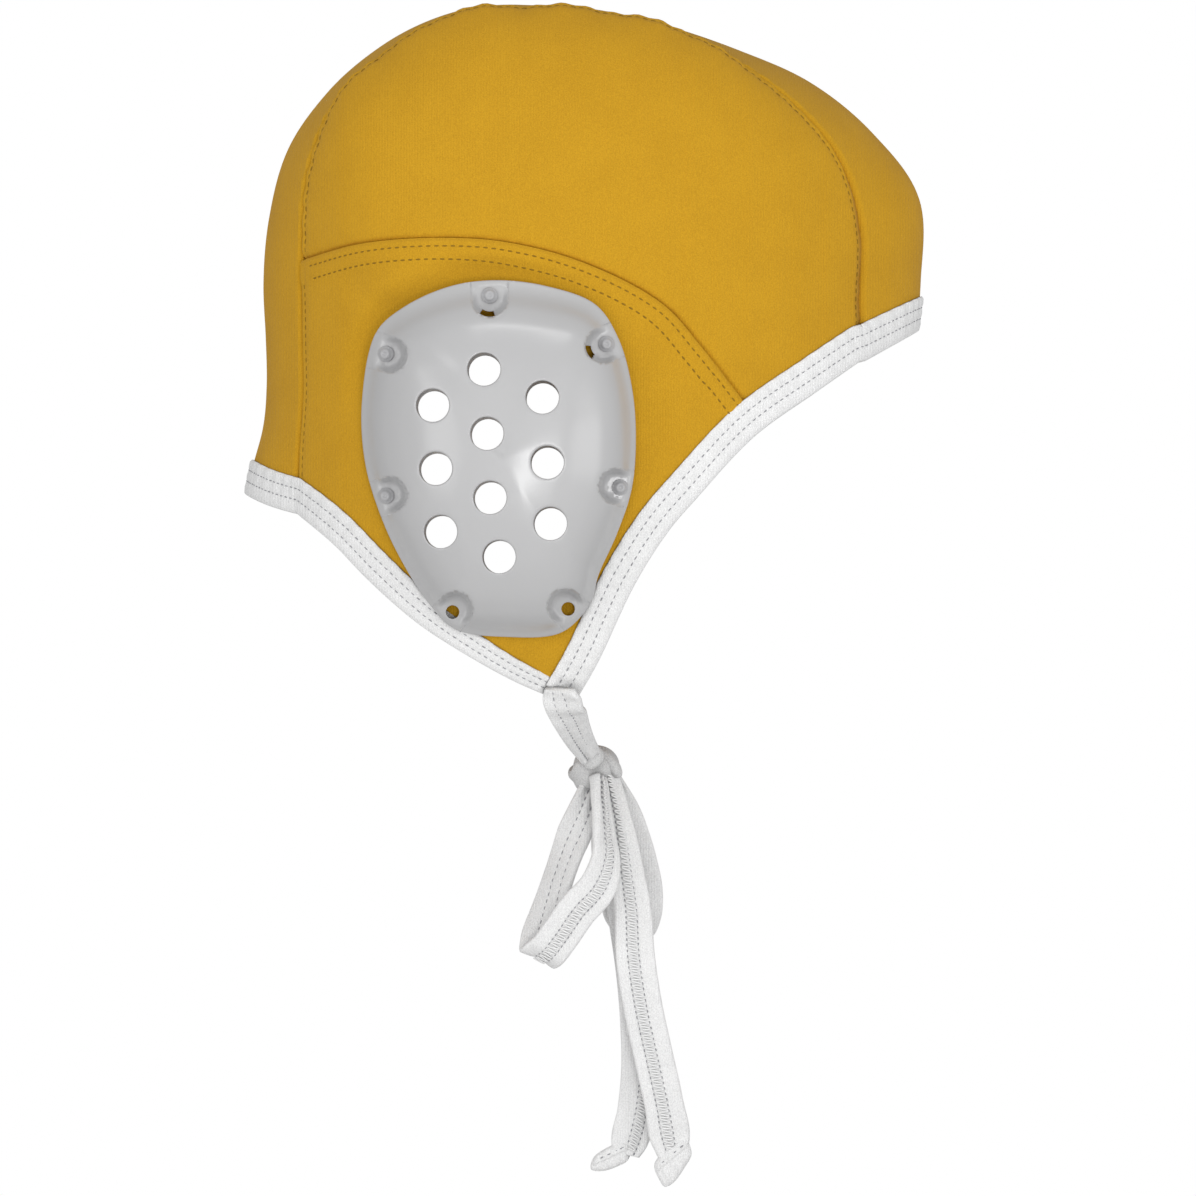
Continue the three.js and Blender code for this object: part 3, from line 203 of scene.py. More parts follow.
def lerp(a, b, t):
    return a + (b - a) * t


def cubic(start, end, slope, end_slope, s, span):
    """A smooth step from start to end with given slopes, at the share s of a span."""
    rise = s * s * (3 - 2 * s)
    return lerp(start, end, rise) + span * (slope * s * (1 - s) ** 2 - end_slope * s * s * (1 - s))


def swaying_wave(along, turns, sway, slow):
    """A wave along a line, whose spacing sways."""
    return np.sin(along * turns + sway * np.sin(along * slow))


def round_turns(count):
    return np.arange(count) * 2 * math.pi / count


def on_circle(turns, middle=0, radius=1):
    return middle + radius * np.stack([np.cos(turns), np.sin(turns)], -1)


# The shell's surface


def section_value(angle, column):
    """Smooth value of one column of SECTIONS at angles in degrees, going round past the table's ends."""
    angles = np.concatenate([SECTIONS[-1:, 0] - 360, SECTIONS[:, 0], SECTIONS[:2, 0] + 360])
    values = np.concatenate([SECTIONS[-1:, column], SECTIONS[:, column], SECTIONS[:2, column]])
    turned = angles[1] + np.mod(angle - angles[1], 360)
    at = np.clip(np.searchsorted(angles, turned, side="right") - 1, 1, len(SECTIONS))
    span = angles[at + 1] - angles[at]
    s = (turned - angles[at]) / span
    slope = (values[at + 1] - values[at - 1]) / (angles[at + 1] - angles[at - 1])
    after = np.minimum(at + 2, len(angles) - 1)
    next_slope = (values[after] - values[at]) / (angles[after] - angles[at])
    return cubic(values[at], values[at + 1], slope, next_slope, s, span)


def base_radius(angle):
    c, s = np.cos(np.radians(angle)), np.sin(np.radians(angle))
    reach = np.where(c > 0, FRONT_REACH, BACK_REACH)
    rise = np.where(s > 0, CROWN_RISE, FLAP_DROP)
    return 1 / np.hypot(c / reach, s / rise)


SEAT_RADIUS = float(base_radius(SEAT_ANGLE) * section_value(SEAT_ANGLE, MIDDLE))
EAR = np.array([
    -SEAT_RADIUS * math.cos(math.radians(SEAT_ANGLE)),
    0,
    CLOTH - SEAT_RADIUS * math.sin(math.radians(SEAT_ANGLE)),
])
ROUND_SCALE = math.sqrt(1 - (CENTRE_HALF_WIDTH / EAR_HALF_WIDTH) ** 2)


def side_share(t, roundness):
    return lerp(np.sin(t * math.pi / 2), t, roundness)


def surface(angle, across):
    """Points of the shell: across is 0 on the middle plane, 1 at the centre seam and 2 at the ear."""
    angle, across = np.broadcast_arrays(np.asarray(angle, float), np.asarray(across, float))
    seam = base_radius(angle) * section_value(angle, SEAM)
    middle = base_radius(angle) * section_value(angle, MIDDLE)
    out = np.abs(across)
    t = 2 - out
    roundness = np.clip(section_value(angle, ROUND), 0, 1)
    flat = lerp(CENTRE_HALF_WIDTH, EAR_HALF_WIDTH, np.cos(t * math.pi / 2))
    curved = EAR_HALF_WIDTH * np.sqrt(np.clip(1 - (ROUND_SCALE * t) ** 2, 0, 1))
    inner = out <= 1
    radius = np.where(inner, lerp(middle, seam, out * out), seam * side_share(t, roundness))
    width = np.where(inner, CENTRE_HALF_WIDTH * out, lerp(flat, curved, roundness))
    turn = np.radians(angle)
    return np.stack([
        EAR[0] + radius * np.cos(turn),
        np.sign(across) * width,
        EAR[2] + radius * np.sin(turn),
    ], -1)


ANGLE_STEP = 1.5
ACROSS_STEP = 0.04
TINY = 1e-9
HALVINGS = 34  # steps of the search for a place on the shell
PROBE_DEGREES = 0.5
PROBE_ACROSS = 0.01


def unit(v):
    return v / np.maximum(np.linalg.norm(v, axis=-1, keepdims=True), TINY)


def outward(angle, across):
    along = surface(angle + ANGLE_STEP, across) - surface(angle - ANGLE_STEP, across)
    over = surface(angle, across + ACROSS_STEP) - surface(angle, across - ACROSS_STEP)
    normal = unit(np.cross(along, over))
    flip = np.sum(normal * (surface(angle, across) - EAR), -1, keepdims=True) < 0
    return np.where(flip, -normal, normal)


def lifted(angle, across, height):
    height = np.asarray(height, float)
    return surface(angle, across) + outward(angle, across) * height[..., None]


def place_to_shell(ahead, up):
    """Side view places, in millimetres from the ear, to angle and across on the wearer's right."""
    ahead, up = np.asarray(ahead, float), np.asarray(up, float)
    angle = np.degrees(np.arctan2(up, ahead))
    wanted = np.hypot(ahead, up) / (base_radius(angle) * section_value(angle, SEAM))
    roundness = np.clip(section_value(angle, ROUND), 0, 1)
    low, high = np.zeros_like(wanted), np.ones_like(wanted)
    for _ in range(HALVINGS):
        t = (low + high) / 2
        under = side_share(t, roundness) < wanted
        low, high = np.where(under, t, low), np.where(under, high, t)
    angle = np.where(angle < SECTIONS[0, 0], angle + 360, angle)
    return angle, (low + high) / 2 - 2


def side_width(ahead, up):
    angle, across = place_to_shell(ahead, up)
    return np.abs(surface(angle, across)[..., 1])


def share_places(rows):
    rows = np.array(rows, float)
    ahead = rows[:, 0] * np.where(rows[:, 0] > 0, FRONT_REACH, BACK_REACH)
    up = rows[:, 1] * np.where(rows[:, 1] > 0, CROWN_RISE, FLAP_DROP)
    return np.stack([ahead, up], 1)


def curve_through(points, closed=False):
    """A centripetal curve through the points, as a function of shares from 0 to 1."""
    points = np.array(points, float)
    count = len(points)
    spans = count if closed else count - 1

    def at(share):
        place = np.asarray(share, float) * spans
        index = np.clip(np.floor(place).astype(int), 0, spans - 1)
        s = (place - index)[..., None]
        if closed:
            p0, p1, p2, p3 = (points[(index + k) % count] for k in (-1, 0, 1, 2))
        else:
            padded = np.vstack([2 * points[0] - points[1], points, 2 * points[-1] - points[-2]])
            p0, p1, p2, p3 = (padded[index + k] for k in range(4))
        d0, d1, d2 = (
            np.sqrt(np.linalg.norm(b - a, axis=-1, keepdims=True)) + TINY
            for a, b in ((p0, p1), (p1, p2), (p2, p3))
        )
        t1 = ((p1 - p0) / d0 - (p2 - p0) / (d0 + d1) + (p2 - p1) / d1) * d1
        t2 = ((p2 - p1) / d1 - (p3 - p1) / (d1 + d2) + (p3 - p2) / d2) * d1
        return p1 + t1 * s + (3 * (p2 - p1) - 2 * t1 - t2) * s**2 + (2 * (p1 - p2) + t1 + t2) * s**3

    return at


def beside(curve, share, distance):
    """Points of a side view curve moved to its left by a distance."""
    step = 1e-3
    share = np.asarray(share, float)
    low, high = np.clip(share - step, 0, 1), np.clip(share + step, 0, 1)
    tangent = unit(curve(high) - curve(low))
    return curve(share) + distance * np.stack([-tangent[..., 1], tangent[..., 0]], -1)


def shell_place(points):
    return place_to_shell(points[..., 0], points[..., 1])


ear_seam = curve_through(share_places(EAR_SEAM))
face_edge = curve_through(share_places(FACE_EDGE))
nape_edge = curve_through(share_places(NAPE_EDGE))


def edge_angle(edge, middle_angle, across):
    corner = edge(0.0)
    turned = math.degrees(math.atan2(corner[1], corner[0]))
    if turned < SECTIONS[0, 0]:
        turned += 360
    return lerp(middle_angle, turned, np.asarray(across, float) ** 2)


def inset_degrees(angle, across):
    chord = surface(angle + PROBE_DEGREES, across) - surface(angle - PROBE_DEGREES, across)
    return 2 * PROBE_DEGREES * EDGE_INSET / np.linalg.norm(chord, axis=-1)


def brow_angle(across):
    angle = edge_angle(face_edge, BROW_ANGLE, across)
    return angle + inset_degrees(angle, across)


def nape_angle(across):
    angle = edge_angle(nape_edge, NAPE_ANGLE, across)
    return angle - inset_degrees(angle, across)


def across_per_mm(angle, across):
    """How far across changes in a millimetre on the side panels."""
    chord = surface(angle, across + PROBE_ACROSS) - surface(angle, across - PROBE_ACROSS)
    return 2 * PROBE_ACROSS / np.linalg.norm(chord, axis=-1)


def seam_across(angle, gap):
    """The side panel's across at a distance from the centre seam, on the wearer's right."""
    return -1 - gap * across_per_mm(angle, -1 - 2 * PROBE_ACROSS)


# Meshes


def add_piece(name, shape, material, nodes=(), uv=None):
    """A smooth piece from a shape: its points in millimetres, and a list of arrays of corner numbers."""
    points, faces = shape
    mesh = bpy.data.meshes.new(name)
    mesh.from_pydata((points * MM).tolist(), [], [f for group in faces for f in group.tolist()])
    mesh.polygons.foreach_set("use_smooth", [True] * len(mesh.polygons))
    if uv is not None:
        corners = np.empty(len(mesh.loops), int)
        mesh.loops.foreach_get("vertex_index", corners)
        mesh.uv_layers.new(name="cloth").data.foreach_set("uv", (np.asarray(uv) * MM)[corners].ravel())
    mesh.validate()
    mesh.materials.append(material)
    piece = bpy.data.objects.new(name, mesh)
    bpy.context.scene.collection.objects.link(piece)
    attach(piece, "root")
    if nodes:
        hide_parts(*nodes)
    return piece


def grid_faces(columns, rows, start=0, ring=False, flip=False):
    """Quads of a grid whose points are listed column by column."""
    i = np.arange(columns if ring else columns - 1)[:, None]
    j = np.arange(rows - 1)[None, :]
    a = i * rows + j
    b = (i + 1) % columns * rows + j
    quads = np.stack([a, b, b + 1, a + 1], -1).reshape(-1, 4) + start
    return quads[:, ::-1] if flip else quads


def signed_volume(points, faces):
    total = 0.0
    for group in faces:
        corners = [points[group[:, k]] for k in range(group.shape[1])]
        for k in range(1, group.shape[1] - 1):
            total += np.sum(corners[0] * np.cross(corners[k], corners[k + 1]))
    return total


def turned_out(points, faces):
    return faces if signed_volume(points, faces) > 0 else [group[:, ::-1] for group in faces]


def wall(outer, inner, ring=False):
    """A closed wall between two grids of points, each of shape columns, rows, 3."""
    columns, rows = outer.shape[:2]
    size = columns * rows
    points = np.concatenate([outer.reshape(-1, 3), inner.reshape(-1, 3)])
    faces = [grid_faces(columns, rows, 0, ring), grid_faces(columns, rows, size, ring, True)]
    i = np.arange(columns if ring else columns - 1)
    for row, order in ((0, 1), (rows - 1, -1)):
        a, b = i * rows + row, (i + 1) % columns * rows + row
        faces.append(np.stack([a, a + size, b + size, b], -1)[:, ::order])
    if not ring:
        j = np.arange(rows - 1)
        for column, order in ((0, -1), (columns - 1, 1)):
            a = column * rows + j
            faces.append(np.stack([a, a + size, a + 1 + size, a + 1], -1)[:, ::order])
    return points, turned_out(points, faces)


def sweep(sections, closed=False):
    """A tube through sections of shape stations, corners, 3, closed on itself or with fanned ends."""
    stations, corners = sections.shape[:2]
    points = sections.reshape(-1, 3)
    i = np.arange(stations if closed else stations - 1)[:, None]
    j = np.arange(corners)[None, :]
    here, there = i * corners, (i + 1) % stations * corners
    after = (j + 1) % corners
    faces = [np.stack([here + j, here + after, there + after, there + j], -1).reshape(-1, 4)]
    if not closed:
        ends = np.stack([sections[0].mean(0), sections[-1].mean(0)])
        points = np.concatenate([points, ends])
        ring = np.arange(corners)
        following = (ring + 1) % corners
        last = (stations - 1) * corners
        hub = stations * corners
        faces.append(np.stack([following, ring, np.full(corners, hub)], -1))
        faces.append(np.stack([ring + last, following + last, np.full(corners, hub + 1)], -1))
    return points, turned_out(points, faces)


def both_sides(shape):
    """A shape on the wearer's right and its mirror image on the left."""
    points, faces = shape
    return ("right", shape), ("left", (points * [1, -1, 1], [group[:, ::-1] for group in faces]))


def joined(parts):
    """Several meshes as one: a list of points and faces."""
    points, faces, start = [], [], 0
    for part_points, part_faces in parts:
        points.append(part_points)
        faces += [group + start for group in part_faces]
        start += len(part_points)
    return np.concatenate(points), faces


def lengths_along(line):
    return np.concatenate([[0], np.cumsum(np.linalg.norm(np.diff(line, axis=0), axis=1))])


def evenly(line, step, values=None):
    """A polyline resampled at even steps, with values carried along."""
    along = lengths_along(line)
    wanted = np.linspace(0, along[-1], max(2, int(round(along[-1] / step)) + 1))
    values = line if values is None else values
    return np.stack([np.interp(wanted, along, column) for column in values.T], -1)


def distance_to(points, line):
    """Least distance from each point to the points of a fine line."""
    flat = points.reshape(-1, 3)
    best = np.full(len(flat), np.inf)
    for chunk in np.array_split(np.arange(len(flat)), max(1, len(flat) // 4000)):
        gaps = np.linalg.norm(flat[chunk, None] - line[None], axis=2)
        best[chunk] = gaps.min(1)
    return best.reshape(points.shape[:-1])


def eased(count, crowding=0.55):
    """Shares from 0 to 1 that lie closer together near both ends."""
    t = np.linspace(0, 1, count)
    return t - crowding * np.sin(2 * math.pi * t) / (2 * math.pi)


# Materials


def new_material(name, color, roughness, **values):
    material = bpy.data.materials.new(name)
    material.use_nodes = True
    shader = material.node_tree.nodes["Principled BSDF"]
    shader.inputs["Base Color"].default_value = (*color, 1)
    shader.inputs["Roughness"].default_value = roughness
    for key, value in values.items():
        shader.inputs[key.replace("_", " ")].default_value = value
    return material, material.node_tree, shader


def add_node(tree, kind, links=(), **values):
    """A node with its settings, and its inputs linked or set."""
    node = tree.nodes.new(kind)
    for key, value in values.items():
        setattr(node, key, value)
    for socket, source in dict(links).items():
        if isinstance(source, bpy.types.NodeSocket):
            tree.links.new(source, node.inputs[socket])
        else:
            node.inputs[socket].default_value = source
    return node


CLOTH_ROUGHNESS = 0.9
WALE = 0.00085  # the spacing of the knit's ribs
GRAIN = 2600  # fine speckle of yarn
PATCH_SCALE = 70
PATCH_SHARE = 0.25  # how much broad patches count against the speckle
MOTTLE = (0.45, 0.8)  # the noise that gives the dark and the light colour
PAINTED_SHADE_RANGE = (0.1, 0.8)  # ambient occlusion values at which the painted shade is darkest and at which it ends
# how dark the painted shade in folds and hollows gets
CREVICE_SHADE = 0.35
WAVER = {"Distortion": 0.6, "Detail Scale": 400.0}  # how the ribs waver
MOULD_RIPPLE = 900  # unevenness of moulded plastic
MOULD_DEPTH = 0.00001
WAVE_TURN = 20  # Blender's wave texture turns this much in a unit of its scale


def cloth_material(name, dark, light, ribs, depth, painted_shade_reach=0.0, **values):
    """Speckled, ribbed cloth from a dark to a light colour; the reach after depth is that of ambient
    occlusion which paints shade into its folds and hollows, and 0 paints none.
    """
    material, tree, shader = new_material(name, light, CLOTH_ROUGHNESS, **values)
    place = add_node(tree, "ShaderNodeTexCoord").outputs["Object"]
    speckle = add_node(tree, "ShaderNodeTexNoise", {"Vector": place, "Scale": GRAIN, "Detail": 2.0})
    patches = add_node(tree, "ShaderNodeTexNoise", {"Vector": place, "Scale": PATCH_SCALE, "Detail": 3.0})
    mottle = add_node(tree, "ShaderNodeMath", {
        0: patches.outputs["Fac"], 1: PATCH_SHARE, 2: speckle.outputs["Fac"],
    }, operation="MULTIPLY_ADD")
    spread = add_node(tree, "ShaderNodeMapRange", {0: mottle.outputs[0], 1: MOTTLE[0], 2: MOTTLE[1]})
    mix = add_node(tree, "ShaderNodeMixRGB", {0: spread.outputs[0], 1: (*dark, 1), 2: (*light, 1)})
    color = mix.outputs[0]
    # painted shade: ambient occlusion darkens the colour in folds and hollows
    if painted_shade_reach:
        near = add_node(tree, "ShaderNodeAmbientOcclusion", {"Distance": painted_shade_reach}, samples=8)
        shade = add_node(tree, "ShaderNodeMapRange", {
            0: near.outputs["AO"], 1: PAINTED_SHADE_RANGE[0], 2: PAINTED_SHADE_RANGE[1], 3: CREVICE_SHADE, 4: 1.0,
        })
        color = add_node(tree, "ShaderNodeMixRGB", {
            0: 1.0, 1: color, 2: shade.outputs[0],
        }, blend_type="MULTIPLY").outputs[0]
    tree.links.new(color, shader.inputs["Base Color"])
    wales = add_node(tree, "ShaderNodeTexWave", {
        "Vector": place, "Scale": 2 * math.pi / WAVE_TURN / WALE, **WAVER,
    }, bands_direction="X")
    height = add_node(tree, "ShaderNodeMath", {
        0: wales.outputs["Fac"], 1: ribs, 2: speckle.outputs["Fac"],
    }, operation="MULTIPLY_ADD")
    relief = add_node(tree, "ShaderNodeBump", {"Height": height.outputs[0], "Distance": depth})
    tree.links.new(relief.outputs[0], shader.inputs["Normal"])
    return material


def plastic_material(name, color, roughness):
    material, tree, shader = new_material(name, color, roughness)
    place = add_node(tree, "ShaderNodeTexCoord").outputs["Object"]
    waves = add_node(tree, "ShaderNodeTexNoise", {"Vector": place, "Scale": MOULD_RIPPLE, "Detail": 2.0})
    relief = add_node(tree, "ShaderNodeBump", {"Height": waves.outputs["Fac"], "Distance": MOULD_DEPTH})
    tree.links.new(relief.outputs[0], shader.inputs["Normal"])
    return material


knit_material = cloth_material(
    "golden_knit", (0.515, 0.268, 0.0125), (0.62, 0.335, 0.0165), 0.5, 0.00012,
    Sheen_Weight=0.04, Specular_IOR_Level=0.15,
)
# real topstitch thread, whose dark gold also paints the shade of its needle holes
knit_thread_painted_shade_material = new_material("gold_thread_painted_shade", (0.27, 0.15, 0.012), 0.8, Specular_IOR_Level=0.2)[0]
# the white tape's last number is the reach of its painted shade in folds and hollows
tape_material = cloth_material("white_tape", (0.76, 0.76, 0.76), (0.93, 0.93, 0.93), 0.3, 0.00022, 0.008)
# the knot's tape is a darker copy of the white tape, as painted shade, with painted shade in hollows over a
# wider reach
knot_painted_shade_material = cloth_material("knotted_tape_painted_shade", (0.55, 0.55, 0.55), (0.74, 0.74, 0.74), 0.3, 0.00022, 0.016)
# real grey thread of the tapes' needle rows, whose dark grey also paints the shade of their needle holes
tape_thread_painted_shade_material = new_material("grey_thread_painted_shade", (0.30, 0.30, 0.32), 0.8)[0]
ladder_thread_material = new_material("white_thread", (0.88, 0.88, 0.88), 0.7)[0]
guard_material = plastic_material("guard_shell_plastic", (0.48, 0.48, 0.485), 0.24)
pin_material = plastic_material("guard_pin_plastic", (0.42, 0.42, 0.43), 0.32)
floor_material = new_material("pale_floor", (0.9, 0.9, 0.9), 0.9)[0]


# Camera, lights and floor

# Metres, as for the lights
CAMERA_DISTANCE = 15.0
VIEW_WIDTH = 0.3708
VIEW_AHEAD, VIEW_UP = 0.0125, -0.1819
SENSOR = 36

camera_data = bpy.data.cameras.new("camera")
camera_data.sensor_width = SENSOR
camera_data.lens = SENSOR * CAMERA_DISTANCE / VIEW_WIDTH
camera_data.clip_end = 100
camera = bpy.data.objects.new("camera", camera_data)
camera.location = (VIEW_AHEAD, -CAMERA_DISTANCE, VIEW_UP)
camera.rotation_euler = (math.pi / 2, 0, 0)
bpy.context.collection.objects.link(camera)
bpy.context.scene.camera = camera
bpy.context.scene.view_settings.view_transform = "Standard"


def add_light(name, place, aim, size, power):
    """A soft light, unseen by the camera, that points at a height on the middle line."""
    data = bpy.data.lights.new(name, "AREA")
    data.shape = "RECTANGLE"
    data.size, data.size_y = size
    data.energy = power
    light = bpy.data.objects.new(name, data)
    light.location = place
    light.rotation_euler = (Vector((0, 0, aim)) - Vector(place)).to_track_quat("-Z", "Y").to_euler()
    light.visible_camera = False
    bpy.context.collection.objects.link(light)


add_light("key", (0.1, -1.2, 1.25), -0.12, (0.9, 0.2), 4.2)
add_light("front", (-0.1, -2.4, 0.0), -0.15, (2.4, 1.6), 9)
add_light("rear_side", (-1.8, -1.6, 0.0), -0.12, (1.2, 1.2), 12)
add_light("face_side", (1.7, -1.7, -0.35), -0.15, (1.2, 1.2), 14)
add_light("low", (0.2, -1.35, -0.3), -0.15, (0.22, 0.22), 2.6)

WHITE = (1, 1, 1, 1)
ROOM_STRENGTH = 0.47
world = bpy.data.worlds.new("white_room")
world.use_nodes = True
bpy.context.scene.world = world
room = world.node_tree
backdrop = room.nodes["Background"]
backdrop.inputs["Color"].default_value = WHITE
soft_light = add_node(room, "ShaderNodeBackground", {"Color": WHITE, "Strength": ROOM_STRENGTH})
seen = add_node(room, "ShaderNodeLightPath")
mixed = add_node(room, "ShaderNodeMixShader", {
    0: seen.outputs["Is Camera Ray"], 1: soft_light.outputs[0], 2: backdrop.outputs[0],
})
room.links.new(mixed.outputs[0], room.nodes["World Output"].inputs["Surface"])

FLOOR_RADIUS = 1.2
FLOOR_DROP = 0.42


# Lines that the panels' relief follows, on the wearer's right

LINE_STEP = 0.8
shares = np.linspace(0, 1, 400)
crown_angles = np.linspace(float(brow_angle(-1.0)), float(nape_angle(-1.0)), 500)
ear_seam_line = evenly(surface(*shell_place(ear_seam(shares))), LINE_STEP)
crown_seam_line = evenly(surface(crown_angles, -1.0), LINE_STEP)
guard_curve = curve_through(
    [(GUARD_AHEAD + a * GUARD_WIDTH / 2, GUARD_UP + u * GUARD_HEIGHT / 2) for a, u in GUARD_OUTLINE],
    closed=True,
)
guard_line = surface(*shell_place(guard_curve(shares)))


def gather(angle):
    height = sum(h * bump(angle - peak, spread) for peak, h, spread in GATHERS)
    return RIDGE_HEIGHT * np.minimum(height, RIDGE_LIMIT)


SEAM_ROLL = 1.5  # how deep the cloth turns in at a seam
SEAM_ROLL_WIDTH = 0.8
PUCKER = 0.28  # ripples of the gathered crown seam
PUCKER_DEGREES = 3.1
PUCKER_SWAY = (2.2, 1 / 9)
PUCKER_SHIFT = 1.5  # degrees between the centre panel's ripples and the side panels'
PUCKER_REACH = 6
PUCKER_START, PUCKER_END = (42, 60), (128, 150)  # where the ripples grow and fade, in degrees
PUCKER_PLAIN = 0.25  # their share elsewhere
STITCH_PULL = 0.3
STITCH_PULL_WIDTH = 0.9
BAND_RISE = 0.75  # the seam allowance under the curved seam
BAND_WIDTH = 7.6
BAND_FADE = 1.6
BAND_EDGE = 0.9
EAR_SINK = 0.55  # how the upper panel sinks at the curved seam
EAR_SINK_WIDTH = 2.2
EAR_ROLL_SHARE = 0.6
TOPSTITCH = 3.0  # the crown seam's stitch row, from the seam
EAR_ROWS = (2.5, 6.3)  # the curved seam's stitch rows, from the seam
CRESCENT_DIP = 3.0  # how far the cloth sinks towards the guard's edge
CRESCENT_EDGE, CRESCENT_REACH = 1.0, 10.0
CRESCENT_START, CRESCENT_END = (55, 95), (150, 178)  # where the dip begins and ends, in degrees


def puckers(angle, distance):
    ripple = swaying_wave(angle, 2 * math.pi / PUCKER_DEGREES, *PUCKER_SWAY)
    strength = smoothstep(angle, *PUCKER_START) * (1 - smoothstep(angle, *PUCKER_END))
    return PUCKER * ripple * lerp(PUCKER_PLAIN, 1, strength) * bump(distance, PUCKER_REACH)


def seam_roll(distance):
    return -SEAM_ROLL * bump(distance, SEAM_ROLL_WIDTH)


def stitch_pull(distance):
    return -STITCH_PULL * bump(distance, STITCH_PULL_WIDTH)


def centre_relief(angle, points):
    near = np.minimum(distance_to(points, crown_seam_line), distance_to(points * [1, -1, 1], crown_seam_line))
    return seam_roll(near) + puckers(angle + PUCKER_SHIFT, near)


def upper_relief(angle, points):
    crown = distance_to(points, crown_seam_line)
    ear = distance_to(points, ear_seam_line)
    height = gather(angle) * bump(crown, RIDGE_WIDTH) + puckers(angle, crown)
    height += seam_roll(crown) + stitch_pull(crown - TOPSTITCH)
    return height - EAR_SINK * bump(ear, EAR_SINK_WIDTH) + EAR_ROLL_SHARE * seam_roll(ear)


def ear_relief(angle, points):
    crown = distance_to(points, crown_seam_line)
    ear = distance_to(points, ear_seam_line)
    guard = distance_to(points, guard_line)
    band = 1 - smoothstep(ear, BAND_WIDTH - BAND_FADE, BAND_WIDTH + BAND_FADE) - bump(ear, BAND_EDGE)
    height = BAND_RISE * band + sum(stitch_pull(ear - row) for row in EAR_ROWS)
    height += seam_roll(crown) + stitch_pull(crown - TOPSTITCH)
    turn = np.where(angle > 270, angle - 360, angle)
    upper_left = smoothstep(turn, *CRESCENT_START) * (1 - smoothstep(turn, *CRESCENT_END))
    return height - CRESCENT_DIP * upper_left * (1 - smoothstep(guard, CRESCENT_EDGE, CRESCENT_REACH))


# Panels


def cloth_piece(name, angle, across, relief, ring=False, paired=True):
    """A panel from grids of shell places: one on each side, or one over the middle."""
    base = surface(angle, across)
    height = relief(angle, base)
    normal = outward(angle, across)
    outer = base + normal * height[..., None]
    inner = base + normal * (np.minimum(height, INNER_SHARE * height) - CLOTH)[..., None]
    shape = wall(outer, inner, ring)
    if paired:
        uv = base[..., [0, 2]]
        panels = [(f"{name}_{side}", made) for side, made in both_sides(shape)]
    else:
        along = np.zeros(angle.shape)
        along[1:] = np.cumsum(np.linalg.norm(np.diff(base, axis=0), axis=-1), 0)
        uv = np.stack([base[..., 1], along], -1)
        panels = [(name, shape)]
    uv = np.tile(uv.reshape(-1, 2), (2, 1))
    for node, made in panels:
        add_piece("knit_" + node, made, knit_material, [node], uv)


CENTRE_GRID = (230, 76)
UPPER_GRID = (200, 84)
EAR_GRID = (150, 50, 70, 90, 44)  # along the seam, the back, the nape and the face, and inwards
RIM_CROWDING = 1.5  # how much closer the ear panel's rows lie at its rim
SEAM_SHUT = 0.05  # what is left of the seam's gap once the cloth turns in
SEAM_CORNER_STEP = 0.5
INNER_SHARE = 0.5  # how much of a raised relief the cloth's inner face follows


def centre_panel():
    columns, rows = CENTRE_GRID
    edge = 1 - SEAM_SHUT / CENTRE_HALF_WIDTH
    across = (edge * (2 * eased(rows) - 1))[None, :]
    share = np.linspace(0, 1, columns)[:, None]
    angle = lerp(brow_angle(across), nape_angle(across), share)
    cloth_piece("centre_panel", angle, np.broadcast_to(across, angle.shape), centre_relief, paired=False)


def junction():
    """Where the curved seam meets the taped edge round the face, as shares of the two curves."""
    steps = np.linspace(0, 1, 401)
    edge = beside(face_edge, steps, -EDGE_INSET)
    seam = ear_seam(steps)
    gaps = np.linalg.norm(edge[:, None] - seam[None], axis=2)
    at = np.unravel_index(gaps.argmin(), gaps.shape)
    return steps[at[0]], steps[at[1]]


def upper_side_panel():
    columns, rows = UPPER_GRID
    face_share, seam_share = junction()
    u = np.linspace(0, 1, columns)[:, None]
    v = eased(rows)[None, :]
    low = shell_place(beside(ear_seam, lerp(seam_share, 1, u[:, 0]), -SEAM_SHUT))
    back = shell_place(beside(ear_seam, np.array(1.0), -SEAM_SHUT))[0]
    brow = float(brow_angle(-1.0))
    high_angle = lerp(brow, back - SEAM_CORNER_STEP, u)
    high_across = seam_across(high_angle, SEAM_SHUT)
    angle = lerp(low[0][:, None], high_angle, v)
    across = lerp(low[1][:, None], high_across, v)
    front = shell_place(beside(face_edge, lerp(face_share, 0, v[0]), -EDGE_INSET))
    straight = [lerp(low[k][0], (brow, float(high_across[0, 0]))[k], v[0]) for k in (0, 1)]
    pull = (1 - u) ** 3 * (v > 0) * (v < 1)
    angle = angle + pull * (front[0] - straight[0])
    across = across + pull * (front[1] - straight[1])
    cloth_piece("upper_side_panel", angle, across, upper_relief)


def opening_radius(angle):
    a, b = EAR_OPENING_WIDTH / 2, EAR_OPENING_HEIGHT / 2
    c, s = np.cos(np.radians(angle)), np.sin(np.radians(angle))
    qa = (c / a) ** 2 + (s / b) ** 2
    qb = -2 * (c * EAR_OPENING_AHEAD / a**2 + s * EAR_OPENING_UP / b**2)
    qc = (EAR_OPENING_AHEAD / a) ** 2 + (EAR_OPENING_UP / b) ** 2 - 1
    return (-qb + np.sqrt(qb * qb - 4 * qa * qc)) / (2 * qa)


